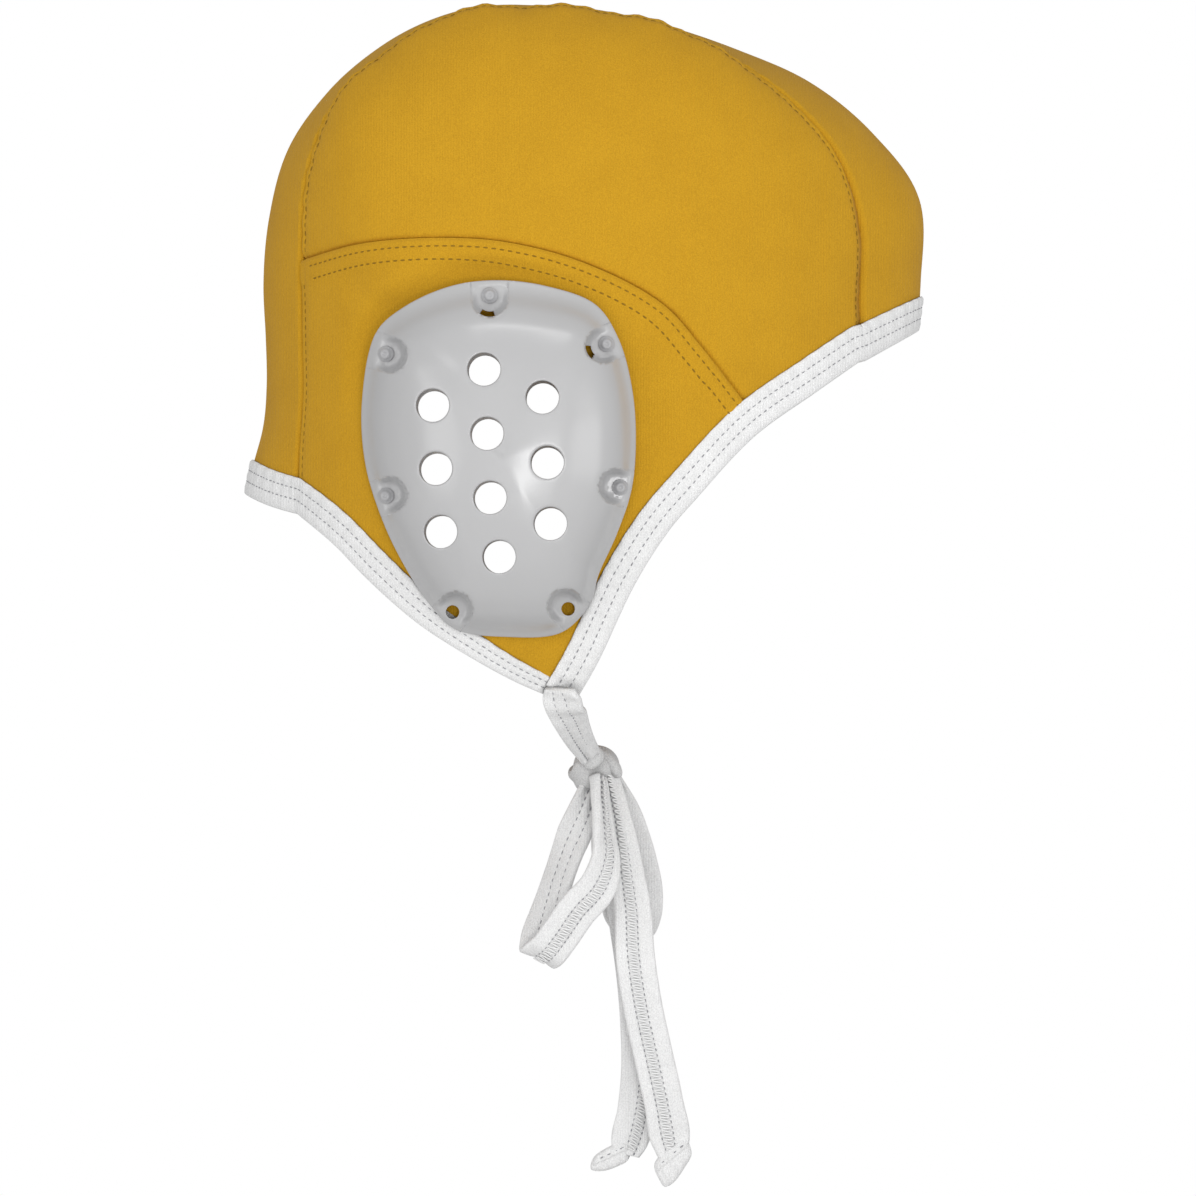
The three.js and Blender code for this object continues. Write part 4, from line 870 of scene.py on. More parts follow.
def ear_panel():
    seam_count, back_count, nape_count, face_count, rows = EAR_GRID
    face_share, seam_share = junction()
    seam = shell_place(beside(ear_seam, lerp(seam_share, 1, np.linspace(0, 1, seam_count)), SEAM_SHUT))
    back_shares = np.arange(back_count) / back_count
    back_angle = lerp(seam[0][-1] + SEAM_CORNER_STEP, float(nape_angle(-1.0)), back_shares)
    back = (back_angle, seam_across(back_angle, SEAM_SHUT))
    nape = shell_place(beside(nape_edge, np.arange(nape_count) / nape_count, EDGE_INSET))
    face_shares = lerp(FLAP_CORNER, face_share, np.arange(face_count) / face_count)
    face = shell_place(beside(face_edge, face_shares, -EDGE_INSET))
    rim_angle, rim_across = (np.concatenate([part[k] for part in (seam, back, nape, face)]) for k in (0, 1))
    radius = opening_radius(rim_angle)
    turn = np.radians(rim_angle)
    inner_across = place_to_shell(radius * np.cos(turn), radius * np.sin(turn))[1]
    share = 1 - (1 - np.linspace(0, 1, rows)) ** RIM_CROWDING
    angle = np.broadcast_to(rim_angle[:, None], (len(rim_angle), rows))
    across = lerp(inner_across[:, None], rim_across[:, None], share[None, :])
    cloth_piece("ear_panel", angle, across, ear_relief, ring=True)


# Stitches

STITCH_RINGS = [(-0.72, 0.75), (0, 1), (0.72, 0.75)]
STITCH_SIDES = 6
ROW_START, ROW_END = 0.03, 0.985  # where the rows under the curved seam start and end, as shares of it
ROW_POINTS = 260
ROW_SEARCH, ROW_TRIES = 2.2, 24  # how far the search for a row's place goes, and its steps
ROW_CLEAR = {"front": 2, "above": 1.5, "below": 3.5, "nape": 1}  # degrees kept off by the crown seam's rows
KNIT_STITCH = {"pitch": 2.55, "length": 1.6, "width": 0.56, "height": 0.5}
TAPE_STITCH = {"pitch": 2.3, "length": 1.35, "width": 0.36, "height": 0.4}


def stitch_shape():
    """One stitch as a unit spindle along x."""
    circle = on_circle(round_turns(STITCH_SIDES))
    points = [np.array([[-1.0, 0, 0]])]
    points += [np.column_stack([np.full(STITCH_SIDES, x), r * circle]) for x, r in STITCH_RINGS]
    points.append(np.array([[1.0, 0, 0]]))
    ring = np.arange(STITCH_SIDES)
    after = (ring + 1) % STITCH_SIDES
    rings = len(STITCH_RINGS)
    last = 1 + (rings - 1) * STITCH_SIDES
    quads = [
        np.stack([ring, ring + STITCH_SIDES, after + STITCH_SIDES, after], 1) + 1 + k * STITCH_SIDES
        for k in range(rings - 1)
    ]
    ends = [
        np.stack([np.zeros_like(ring), ring + 1, after + 1], 1),
        np.stack([ring + last, np.full_like(ring, last + STITCH_SIDES), after + last], 1),
    ]
    return np.concatenate(points), quads + ends


def stitches(centres, tangents, normals, length, width, height):
    """Stitches at the centres, each along its tangent, as one mesh."""
    points, faces = stitch_shape()
    faces = turned_out(points, faces)
    tangents = unit(tangents)
    sides = unit(np.cross(normals, tangents))
    normals = np.cross(tangents, sides)
    placed = (
        centres[:, None]
        + tangents[:, None] * points[None, :, :1] * length / 2
        + sides[:, None] * points[None, :, 1:2] * width / 2
        + normals[:, None] * points[None, :, 2:] * height / 2
    )
    starts = np.arange(len(centres)) * len(points)
    many = [(group[None] + starts[:, None, None]).reshape(-1, group.shape[1]) for group in faces]
    return placed.reshape(-1, 3), many


def stitch_row(line, normals, pitch, **size):
    """A row of stitches along a line that is given with its normals."""
    row = evenly(line, pitch, np.concatenate([line, normals], 1))
    middles = (row[1:] + row[:-1]) / 2
    return stitches(middles[:, :3], np.diff(row[:, :3], axis=0), unit(middles[:, 3:]), **size)


def row_under_ear_seam(distance):
    """Shell places at a true distance under the curved seam."""
    share = np.linspace(junction()[1] + ROW_START, ROW_END, ROW_POINTS)
    offsets = np.linspace(0, distance * ROW_SEARCH, ROW_TRIES)
    angle, across = zip(*(shell_place(beside(ear_seam, share, offset)) for offset in offsets))
    angle, across = np.array(angle), np.array(across)
    gaps = distance_to(surface(angle, across), ear_seam_line)
    at = np.argmax(gaps >= distance, axis=0)
    pick = (at, np.arange(len(share)))
    return angle[pick], across[pick]


def panel_stitches():
    """The topstitch rows of the crown seam and the curved seam, on both sides, as one mesh."""
    rows = [(*row_under_ear_seam(distance), ear_relief) for distance in EAR_ROWS]
    end = np.degrees(math.atan2(*ear_seam(1.0)[::-1]))
    upper = np.linspace(float(brow_angle(-1.0)) + ROW_CLEAR["front"], end - ROW_CLEAR["above"], 400)
    rows.append((upper, seam_across(upper, TOPSTITCH), upper_relief))
    lower = np.linspace(end + ROW_CLEAR["below"], float(nape_angle(-1.0)) - ROW_CLEAR["nape"], 160)
    rows.append((lower, seam_across(lower, TOPSTITCH), ear_relief))
    parts = []
    for angle, across, relief in rows:
        base = surface(angle, across)
        normal = outward(angle, across)
        line = base + normal * relief(angle, base)[:, None]
        parts += [made for _, made in both_sides(stitch_row(line, normal, **KNIT_STITCH))]
    add_piece("panel_stitches", joined(parts), knit_thread_painted_shade_material)


# Taped edges

BINDING_STATIONS = 640
TAPE_ROWS = (0.4, 0.7)  # the two needle rows, as shares of the tape's width from the cap's edge
TAPE_PULL = 0.28
TAPE_FOLD = 1.5  # how round the fold is
END_PROBE = 0.02  # the share of an edge that gives its direction at its end
TANGENT_REACH = 4
SLOPE_DEGREES, SLOPE_ACROSS = 0.2, 0.004  # steps that feel out the shell's slope
SEARCH_ROUNDS = 6
RIPPLE = 0.14  # unevenness of the taped edge
RIPPLE_TURNS = (1.15, 1.7, 0.17)
RIPPLE_AT_EDGE = 0.2
EDGE_DIP = 0.5  # how the tape's free edge presses into the cloth
EDGE_DIP_WIDTH = 0.5
EDGE_LIFT = 0.25  # how thick the tape's free edge is
PULL_WIDTH = 0.8  # of the groove along a needle row
STITCH_LIFT, INNER_STITCH_LIFT = 0.06, 0.02
FOLD_CLEAR = 1.2  # how far from the cap's edge the fold's hollow begins
PINCH_REACH = 6.0  # over which a tape narrows towards the tie at the flap's tip
SINK_SHARE = 0.05  # the share of the nape tape that sinks under the face tape
LEAF_SHARES = (0.985, 0.93, 0.82, 0.76, 0.7, 0.64, 0.55, 0.46, 0.4, 0.34, 0.25)


def edge_stations(edge, middle_angle, extend=0.0):
    """Even stations along a taped edge from flap tip to flap tip: angle, across, points and tangents."""
    steps = np.linspace(1 + extend, 0, 300)
    beyond = (edge(1.0) - edge(1 - END_PROBE)) / END_PROBE
    points = edge(np.clip(steps, 0, 1)) + np.maximum(steps - 1, 0)[:, None] * beyond
    side = shell_place(points)
    across = np.linspace(-1, 0, 120)[1:]
    middle = edge_angle(edge, middle_angle, across)
    half = (np.concatenate([side[0], middle]), np.concatenate([side[1], across]))
    angle = np.concatenate([half[0], half[0][-2::-1]])
    across = np.concatenate([half[1], -half[1][-2::-1]])
    line = surface(angle, across)
    along = lengths_along(line)
    wanted = np.linspace(0, along[-1], BINDING_STATIONS)
    angle, across = np.interp(wanted, along, angle), np.interp(wanted, along, across)
    points = surface(angle, across)
    padded = np.concatenate([[points[0]] * TANGENT_REACH, points, [points[-1]] * TANGENT_REACH])
    tangent = unit(padded[2 * TANGENT_REACH:] - padded[: -2 * TANGENT_REACH])
    return angle, across, points, tangent


def nearest_place(points, angle, across):
    """Shell places nearest to points, from first guesses."""
    angle, across = (np.broadcast_to(v, points.shape[:-1]).copy() for v in (angle, across))
    turn, slide = SLOPE_DEGREES, SLOPE_ACROSS
    for _ in range(SEARCH_ROUNDS):
        miss = points - surface(angle, across)
        da = (surface(angle + turn, across) - surface(angle - turn, across)) / (2 * turn)
        dc = (surface(angle, across + slide) - surface(angle, across - slide)) / (2 * slide)
        aa, ac, cc = (np.sum(p * q, -1) for p, q in ((da, da), (da, dc), (dc, dc)))
        ma, mc = np.sum(miss * da, -1), np.sum(miss * dc, -1)
        det = aa * cc - ac * ac
        angle += (ma * cc - mc * ac) / det
        across += (mc * aa - ma * ac) / det
    return angle, across


def binding(name, node, edge, middle_angle, inward, end_width=1, extend=0.0, sink=0.0, pinch=0.0):
    """A tape folded over an edge of the cap, with its needle rows."""
    angle, across, points, tangent = edge_stations(edge, middle_angle, extend)
    inset = unit(np.cross(outward(angle, across), tangent)) * inward
    share = np.linspace(0, 1, BINDING_STATIONS)
    from_tip = np.minimum(share, 1 - share)
    width = TAPE_WIDTH * lerp(end_width, 1, smoothstep(from_tip, 0, TAPER_SHARE))
    over, under = TAPE_GAP - SEAM_GAP, -CLOTH - LINING_GAP
    top, bottom = over + TAPE_LEAF, under - TAPE_LEAF
    length = lengths_along(points)
    ripple = RIPPLE * swaying_wave(length, *RIPPLE_TURNS)
    sunk = sink * (1 - smoothstep(from_tip, 0.0, SINK_SHARE))
    pinched = pinch * (1 - smoothstep(from_tip * length[-1], 0.5, PINCH_REACH))

    def across_tape(distance):
        return nearest_place(points + inset * distance[:, None], angle, across)

    def held(level):
        return lerp(level, (top + bottom) / 2, pinched)

    turns = np.linspace(0, math.pi, 9)[1:-1]
    section = [(1.0, 0.0, over + EDGE_LIFT)]
    section += [(s, 0.0, top) for s in LEAF_SHARES]
    section += [
        (0.0, TAPE_FOLD * (1 - math.sin(t)), lerp(bottom, top, (1 + math.cos(t)) / 2)) for t in turns
    ]
    section += [(s, 0.0, bottom) for s in LEAF_SHARES[::-2]]
    section += [(1.0, 0.0, under), (0.0, FOLD_CLEAR, under), (0.0, FOLD_CLEAR, over)]
    grid = []
    for leaf_share, reach, height in section:
        level = np.full(len(points), height)
        if height == top:
            level += ripple * (leaf_share + RIPPLE_AT_EDGE) - sum(
                TAPE_PULL * bump((leaf_share - row) * TAPE_WIDTH, PULL_WIDTH) for row in TAPE_ROWS
            )
            level -= EDGE_DIP * bump((1 - leaf_share) * TAPE_WIDTH, EDGE_DIP_WIDTH)
        grid.append(lifted(*across_tape(leaf_share * width + reach), held(level - sunk)))
    sections = np.stack(grid, 1)
    v = lengths_along(sections[len(sections) // 2])
    uv = np.stack(np.broadcast_arrays(v[None, :], length[:, None]), -1).reshape(-1, 2)
    uv = np.concatenate([uv, uv[[0, -1]]])
    add_piece(name, sweep(sections), tape_material, [node], uv)
    rows = []
    for row in TAPE_ROWS:
        place = across_tape(row * width)
        outer = held(top - TAPE_PULL + ripple * (row + RIPPLE_AT_EDGE) + STITCH_LIFT - sunk)
        inner = held(np.full(len(points), bottom - INNER_STITCH_LIFT))
        rows.append(stitch_row(lifted(*place, outer), outward(*place), **TAPE_STITCH))
        rows.append(stitch_row(lifted(*place, inner), -outward(*place), **TAPE_STITCH))
    add_piece(name + "_stitches", joined(rows), tape_thread_painted_shade_material)


# Ear guards

GUARD_MESH_STEP = 1.15
ROW_HEIGHT = 0.87  # of even triangles, as a share of their side
RIM_SLACK = 0.6
FILL_INSET = 0.5  # how far filling points stay off the rim
FILL_CLEAR = 0.55  # and off the lines, in steps
WELD = 1e-4
LUG_REACH = 1.65  # how far a recess's solid surround goes
THINNEST = 0.8
BEVEL = 0.55
POCKET_RADIUS = 5.7
POCKET_BACK = 1.2  # how far a pocket's round end lies inwards of its pin
WALL_RUN = 2.0  # how far a pocket's wall leans in on its way down
WALL_CURVE = 1.5
POCKET_STEP, POCKET_RUN = 0.9, 12
BEVEL_RINGS = (0, 0.16, 0.36, BEVEL)
RIM_RINGS = (0.45, 1.1, 2.0, 3.2, 4.6)
WALL_RINGS = (-WALL_RUN, -1.4, -0.9, -0.4)
GUARD_MIDDLE = np.array([GUARD_AHEAD, GUARD_UP])
GUARD_HALF = np.array([GUARD_WIDTH / 2, GUARD_HEIGHT / 2])
RECESS_LIFT = RIM_LIFT + LUG_FLOOR
TURNED_SIDES = 28
# Where a slot is left open beside a pocket's floor: the recess, and the slot's direction from the pin
SLOTS = [(0, -100, 27), (1, 205, 24)]
SLOT_RADII = (POCKET_RADIUS - 2.0, POCKET_RADIUS - 0.35)


def smooth_table(x, rows):
    """Monotone smooth curve through rows of (x, y)."""
    xs, ys = np.array(rows, float).T
    slopes = np.diff(ys) / np.diff(xs)
    tangents = np.zeros(len(xs))
    tangents[1:-1] = 2 * slopes[1:] * slopes[:-1] / (slopes[1:] + slopes[:-1])
    tangents[0] = slopes[0]
    x = np.clip(x, xs[0], xs[-1])
    at = np.clip(np.searchsorted(xs, x, side="right") - 1, 0, len(xs) - 2)
    span = xs[at + 1] - xs[at]
    s = (x - xs[at]) / span
    return cubic(ys[at], ys[at + 1], tangents[at], tangents[at + 1], s, span)


guard_edge = evenly(np.vstack([guard_curve(shares), guard_curve(np.array([0.0]))]), GUARD_MESH_STEP)[:-1]
edge_turn = np.unwrap(np.arctan2(*(guard_edge - GUARD_MIDDLE).T[::-1]))
edge_order = np.argsort(np.mod(edge_turn, 2 * math.pi))


def guard_inset(places):
    """How far places lie inside the guard's edge, on the ray from its middle."""
    ahead, up = (places - GUARD_MIDDLE).T
    radius = np.hypot(ahead, up)
    turn = np.mod(np.arctan2(up, ahead), 2 * math.pi)
    turns = np.mod(edge_turn, 2 * math.pi)[edge_order]
    radii = np.linalg.norm(guard_edge - GUARD_MIDDLE, axis=1)[edge_order]
    rim = np.interp(turn, turns, radii, period=2 * math.pi)
    spread = 1 + SKIRT_SPREAD_AT_TOP * np.clip(up / np.maximum(radius, TINY), 0, 1) ** 3
    return (rim - radius) / spread


def recess_seat(row):
    """Where a fastening sits on the cloth, its leaning axis, and the middle of its recess floor."""
    place = place_to_shell(*(GUARD_MIDDLE + np.array(row[:2]) * GUARD_HALF))
    origin = surface(*place)
    axis = unit(outward(*place) + np.array([0, -1, 0]))
    return origin, axis, origin + axis * RECESS_LIFT


def recess_frame(row):
    """A recess's middle and the direction of its open end, straight out of the guard's rim."""
    middle = (recess_seat(row)[2] - EAR)[[0, 2]]
    nearest = int(np.linalg.norm(guard_edge - middle, axis=1).argmin())
    tangent = guard_edge[(nearest + 3) % len(guard_edge)] - guard_edge[nearest - 3]
    out = np.array([-tangent[1], tangent[0]])
    out = out / np.linalg.norm(out)
    if out @ (middle - GUARD_MIDDLE) < 0:
        out = -out
    return middle, out


def pocket_frame(row):
    """The middle of a recess's round end and the direction of its open end."""
    middle, out = recess_frame(row)
    return middle - POCKET_BACK * out, out


def pocket_distance(places, row):
    """Signed distance to a recess's U shape, negative inside it."""
    middle, out = pocket_frame(row)
    ahead = np.maximum(0, (places - middle) @ out)
    return np.linalg.norm(places - middle - ahead[:, None] * out, axis=1) - POCKET_RADIUS


def pocket_loop(row, offset):
    """A recess's U shape, wider by an offset, and run on past the guard's rim."""
    middle, out = pocket_frame(row)
    side = np.array([-out[1], out[0]])
    radius = POCKET_RADIUS + offset
    turns = np.linspace(-math.pi / 2, math.pi / 2, 25)
    arc = middle + radius * (np.sin(turns)[:, None] * side - np.cos(turns)[:, None] * out)
    reach = np.arange(POCKET_STEP, POCKET_RUN, POCKET_STEP)[:, None] * out
    return np.vstack([(arc[0] + reach)[::-1], arc, arc[-1] + reach])


def bevel_drop(distance):
    inside = np.clip(BEVEL - distance, 0, BEVEL)
    return BEVEL - np.sqrt(BEVEL**2 - inside**2)


def slot_arcs():
    arcs = []
    for index, turn, half in SLOTS:
        turns = np.radians(np.linspace(turn - half, turn + half, 9))
        arcs += [on_circle(turns, pocket_frame(RECESSES[index])[0], radius) for radius in SLOT_RADII]
    return arcs


def in_slots(places):
    inside = np.zeros(len(places), bool)
    for index, turn, half in SLOTS:
        away = places - pocket_frame(RECESSES[index])[0]
        radius = np.linalg.norm(away, axis=1)
        swing = np.degrees(np.arctan2(away[:, 1], away[:, 0])) - turn
        swing = np.abs(np.mod(swing + 180, 360) - 180)
        inside |= (radius > SLOT_RADII[0]) & (radius < SLOT_RADII[1]) & (swing < half)
    return inside


def round_holes():
    """Middle, radius, how many corners it has and the rings round it, of each vent and pin hole."""
    vents = [GUARD_MIDDLE + np.array(row) * GUARD_HALF for row in GUARD_HOLES]
    pins = [recess_frame(row)[0] for row in RECESSES]
    vent = (GUARD_HOLE_RADIUS, 40, (*BEVEL_RINGS, 1.3))
    pin = (PIN_RADIUS + PIN_CLEARANCE, 18, (0, 0.3))
    return [(middle, *vent) for middle in vents], [(middle, *pin) for middle in pins]


def hole_loops(hole):
    middle, radius, corners, rings = hole
    return [(on_circle(round_turns(corners), middle, radius + ring), True) for ring in rings]


def plan_loops():
    """Lines that the guard's triangles follow, and whether each is closed."""
    loops = [(guard_edge, True)]
    for inset in RIM_RINGS:
        share = 1 - inset / np.linalg.norm(guard_edge - GUARD_MIDDLE, axis=1)
        loops.append((GUARD_MIDDLE + (guard_edge - GUARD_MIDDLE) * share[:, None], True))
    vents, pins = round_holes()
    for hole in vents:
        loops += hole_loops(hole)
    for row, hole in zip(RECESSES, pins):
        loops += [(pocket_loop(row, ring), False) for ring in (*WALL_RINGS, *BEVEL_RINGS, 1.5, 1.8)]
        loops += hole_loops(hole)
    return loops + [(arc, False) for arc in slot_arcs()]


def guard_plan():
    """The guard's side view as triangles that follow its edge, holes and recesses."""
    points, edges = [], []
    for line, closed in plan_loops():
        start, count = len(points), len(line)
        inside = guard_inset(line) > -RIM_SLACK
        points += line.tolist()
        edges += [
            (start + k, start + (k + 1) % count)
            for k in range(count if closed else count - 1)
            if inside[k] and inside[(k + 1) % count]
        ]
    fixed = np.array(points)
    span = GUARD_HALF + 2
    fill = []
    for k, up in enumerate(np.arange(-span[1], span[1], GUARD_MESH_STEP * ROW_HEIGHT)):
        ahead = np.arange(-span[0], span[0], GUARD_MESH_STEP) + (k % 2) * GUARD_MESH_STEP / 2
        fill.append(GUARD_MIDDLE + np.stack([ahead, np.full_like(ahead, up)], 1))
    fill = np.concatenate(fill)
    fill = fill[guard_inset(fill) > FILL_INSET]
    clear = np.array([np.linalg.norm(fixed - p, axis=1).min() > FILL_CLEAR * GUARD_MESH_STEP for p in fill])
    corners = [Vector(p) for p in np.vstack([fixed, fill[clear]])]
    made = delaunay_2d_cdt(corners, edges, [], 0, WELD)
    places = np.array([tuple(p) for p in made[0]])
    triangles = np.array(made[2])
    centre = places[triangles].mean(1)
    keep = (guard_inset(centre) > 0) & ~in_slots(centre)
    for holes in round_holes():
        for middle, radius, _, _ in holes:
            keep &= np.linalg.norm(centre - middle, axis=1) > radius
    return places, triangles[keep]


def guard_heights(places):
    """Heights of the guard's outer and inner faces over the cloth."""
    inset = guard_inset(places)
    outer = GUARD_DOME * smooth_table(inset, GUARD_RINGS)
    dome_inside = GUARD_DOME * smooth_table(inset - GUARD_WALL, GUARD_RINGS) - GUARD_WALL
    inner = lerp(RIM_LIFT, dome_inside, smoothstep(inset, GUARD_WALL, 2 * GUARD_WALL))
    for row in GUARD_HOLES:
        middle = GUARD_MIDDLE + np.array(row) * GUARD_HALF
        outer -= bevel_drop(np.linalg.norm(places - middle, axis=1) - GUARD_HOLE_RADIUS)
    for row in RECESSES:
        distance = pocket_distance(places, row)
        _, axis, seat = recess_seat(row)
        away = places - (seat - EAR)[[0, 2]]
        floor = away @ axis[[0, 2]] / axis[1] - seat[1] - side_width(places[:, 0], places[:, 1])
        climb = np.clip(1 + distance / WALL_RUN, 0, 1) ** WALL_CURVE
        outer -= bevel_drop(np.maximum(distance, 0)) * (distance > 0)
        walled = floor + np.maximum(outer - floor, 0) * climb
        outer = np.where(distance <= 0, np.minimum(outer, walled), outer)
        inner = np.where(distance < LUG_REACH, RIM_LIFT, inner)
    return outer, np.minimum(inner, outer - THINNEST)


def ear_guards():
    places, triangles = guard_plan()
    base = side_width(places[:, 0], places[:, 1])
    points = np.concatenate([
        np.stack([EAR[0] + places[:, 0], -(base + height), EAR[2] + places[:, 1]], 1)
        for height in guard_heights(places)
    ])
    edges = np.concatenate([triangles[:, [0, 1]], triangles[:, [1, 2]], triangles[:, [2, 0]]])
    _, first, counts = np.unique(np.sort(edges, axis=1), axis=0, return_index=True, return_counts=True)
    a, b = edges[first[counts == 1]].T
    size = len(places)
    faces = [triangles, triangles[:, ::-1] + size, np.stack([b, a, a + size, b + size], 1)]
    used = np.unique(triangles)
    used = np.concatenate([used, used + size])
    renumber = np.full(2 * size, -1)
    renumber[used] = np.arange(len(used))
    points, faces = points[used], [renumber[group] for group in faces]
    for side, made in both_sides((points, turned_out(points, faces))):
        add_piece("guard_shell_" + side, made, guard_material, ["ear_guard_" + side])


def turned_solid(origin, axis, rings):
    """A turned solid on an axis, through rings of (radius, distance along the axis)."""
    wide = unit(np.array([1.0, 0, 0]) - axis * axis[0])
    circle = on_circle(round_turns(TURNED_SIDES)) @ np.array([wide, np.cross(axis, wide)])
    return sweep(np.stack([origin + axis * along + radius * circle for radius, along in rings]))


def guard_pins():
    """Pins: a collar and a stubby peg on the recess floor, a shaft, and a flat head inside the cloth."""
    inside = -CLOTH - PIN_SLACK
    floor = RECESS_LIFT + PIN_CLEARANCE
    top = floor + PIN_NUB_HEIGHT
    rings = [
        (PIN_HEAD_RADIUS - 0.4, inside - PIN_HEAD), (PIN_HEAD_RADIUS, inside - PIN_HEAD + 0.3),
        (PIN_HEAD_RADIUS, inside), (PIN_RADIUS, inside + 0.1), (PIN_RADIUS, floor - 0.1),
        (PIN_NUB_RADIUS, floor), (PIN_NUB_RADIUS, floor + 0.35), (PIN_NUB_RADIUS - 0.3, floor + 0.6),
        (PIN_RADIUS, floor + 0.75), (PIN_RADIUS - 0.15, top - 0.5), (PIN_RADIUS - 0.5, top - 0.1),
        (PIN_RADIUS - 1.0, top), (PIN_RADIUS - 1.3, top - 0.3), (0.2, top - 0.35),
    ]
    pinned = [row for row in RECESSES if row[2]]
    for number, row in enumerate(pinned, 1):
        origin, axis, _ = recess_seat(row)
        for side, made in both_sides(turned_solid(origin, axis, rings)):
            name = f"pin_{side}_{number}"
            add_piece(name, made, pin_material, ["guard_" + name])


# Tapes of the bow

ROUTE_STEP = 0.7
TAPE_FLAT = np.linspace(-0.94, 0.94, 23)
TAPE_EDGE_TURNS = np.radians([-62, -31, 0, 31, 62])
NEEDLE_PITCH = 1.75
# short dark dots on a tape's ladder face: painted shade of the needle holes
NEEDLE_HOLE_SHADE = {"pitch": NEEDLE_PITCH, "length": 0.95, "width": 0.5, "height": 0.42}
LADDER_THREAD = {"width": 0.6, "height": 0.5}
LADDER_RISE = 0.28
LADDER_SHIFT = 0.5  # how far a thread's ends lie apart along the tape
LADDER_LEAN = 0.35
LADDER_OVERLAP = 1.02
LADDER_SWELL = 0.12  # how far the tape swells between the needle rows
SWELL_WIDTH = 1.6
TAPE_WAVE = 0.09
TAPE_WAVE_TURNS = (0.9, 1.3, 0.23)
EDGE_FALL = 0.1
EDGE_ROUND = 0.35
GATHER_FROM = (0.1, 0.5)  # the loss of width at which a gathered tape starts to crease, and is creased
GATHER_WAVE = 0.35
GATHER_TURN, GATHER_SHIFT = 2.3 * math.pi, 0.5
LEAD_WIDTH = 0.8  # a tape is gathered where it runs into another piece
KNOT_LEAD = 4.0  # how far a tape runs into the knot
TIP_LEAD = 2.4  # how far a tail runs into its folded tip
FLAP_LEAD = 2.5  # how far a chin tie runs into the tape at the flap's tip
NEEDLE_DIP = 0.2
DIP_WIDTH = 0.6


def route_stations(route, leads=(0, 0), cut=False):
    """Even stations of a tape: points, along, wide and thick directions, width shares and lengths."""
    rows = np.array(route, float)
    for at, beyond, lead in ((0, 1, leads[0]), (-1, -2, leads[1])):
        if lead:
            step = rows[at, :3] - rows[beyond, :3]
            extra = rows[at].copy()
            extra[5] *= LEAD_WIDTH
            extra[:3] += lead * step / np.linalg.norm(step)
            rows = np.vstack([extra, rows] if at == 0 else [rows, extra])
    rows[:, :3] += [EAR[0], 0, EAR[2]]
    knots = lengths_along(rows[:, :3])
    slopes = np.gradient(rows, knots, axis=0)
    fine = np.linspace(0, knots[-1], 60 * len(rows))
    at = np.clip(np.searchsorted(knots, fine, side="right") - 1, 0, len(knots) - 2)
    span = (knots[at + 1] - knots[at])[:, None]
    s = (fine - knots[at])[:, None] / span
    values = cubic(rows[at], rows[at + 1], slopes[at], slopes[at + 1], s, span)
    slant = smoothstep(fine, knots[-2], knots[-1]) * float(cut)
    values = evenly(values[:, :3], ROUTE_STEP, np.column_stack([values, slant]))
    points = values[:, :3]
    turn, tilt = np.radians(values[:, 3:5]).T
    width, slant = values[:, 5:].T
    along = unit(np.gradient(points, axis=0))
    wide = np.stack([np.cos(turn) * np.cos(tilt), np.sin(turn) * np.cos(tilt), np.sin(tilt)], 1)
    wide = unit(wide - along * (np.sum(wide * along, 1) * (1 - slant))[:, None])
    thick = unit(np.cross(along, wide))
    return points, along, wide, thick, width, lengths_along(points)


def tape_surface(stations, across, side, lift=0.0):
    """Points of a tape's face: across from -0.5 to 0.5 of its width, on its thick side 1 or -1."""
    points, _, wide, thick, width, _ = stations
    half = TIE_THICKNESS / 2 / np.sqrt(width)
    return points + wide * (across * TAPE_WIDTH * width)[:, None] + thick * (side * (half + lift))[:, None]


def tape_grid(stations, needles, ladder_side, wave):
    """Sections of a tape: two faces with dents along the needle rows, and two round edges."""
    points, _, wide, thick, width, _ = stations
    gathered = smoothstep(1 - width, *GATHER_FROM)
    half_width = TAPE_WIDTH * width / 2
    half = TIE_THICKNESS / 2 / np.sqrt(width)

    def line(out, rise):
        return points + wide * out[:, None] + thick * rise[:, None]

    grid = []
    for side in (1, -1):
        for x in TAPE_FLAT[::-side]:
            level = half - EDGE_FALL * x**8 + wave * side
            level -= sum(NEEDLE_DIP * bump((x - 2 * needle) * half_width, DIP_WIDTH) for needle in needles)
            if side == ladder_side:
                level += LADDER_SWELL * bump((x - 2 * np.mean(needles)) * half_width, SWELL_WIDTH)
            level += gathered * GATHER_WAVE * math.sin(GATHER_TURN * x + GATHER_SHIFT)
            grid.append(line(x * half_width, side * level))
        for turn in TAPE_EDGE_TURNS * -side:
            out = lerp(TAPE_FLAT[-1], 1, math.cos(turn)) * half_width + EDGE_ROUND * math.cos(turn)
            grid.append(line(-side * out, (half - EDGE_FALL) * math.sin(turn)))
    return np.stack(grid, 1)


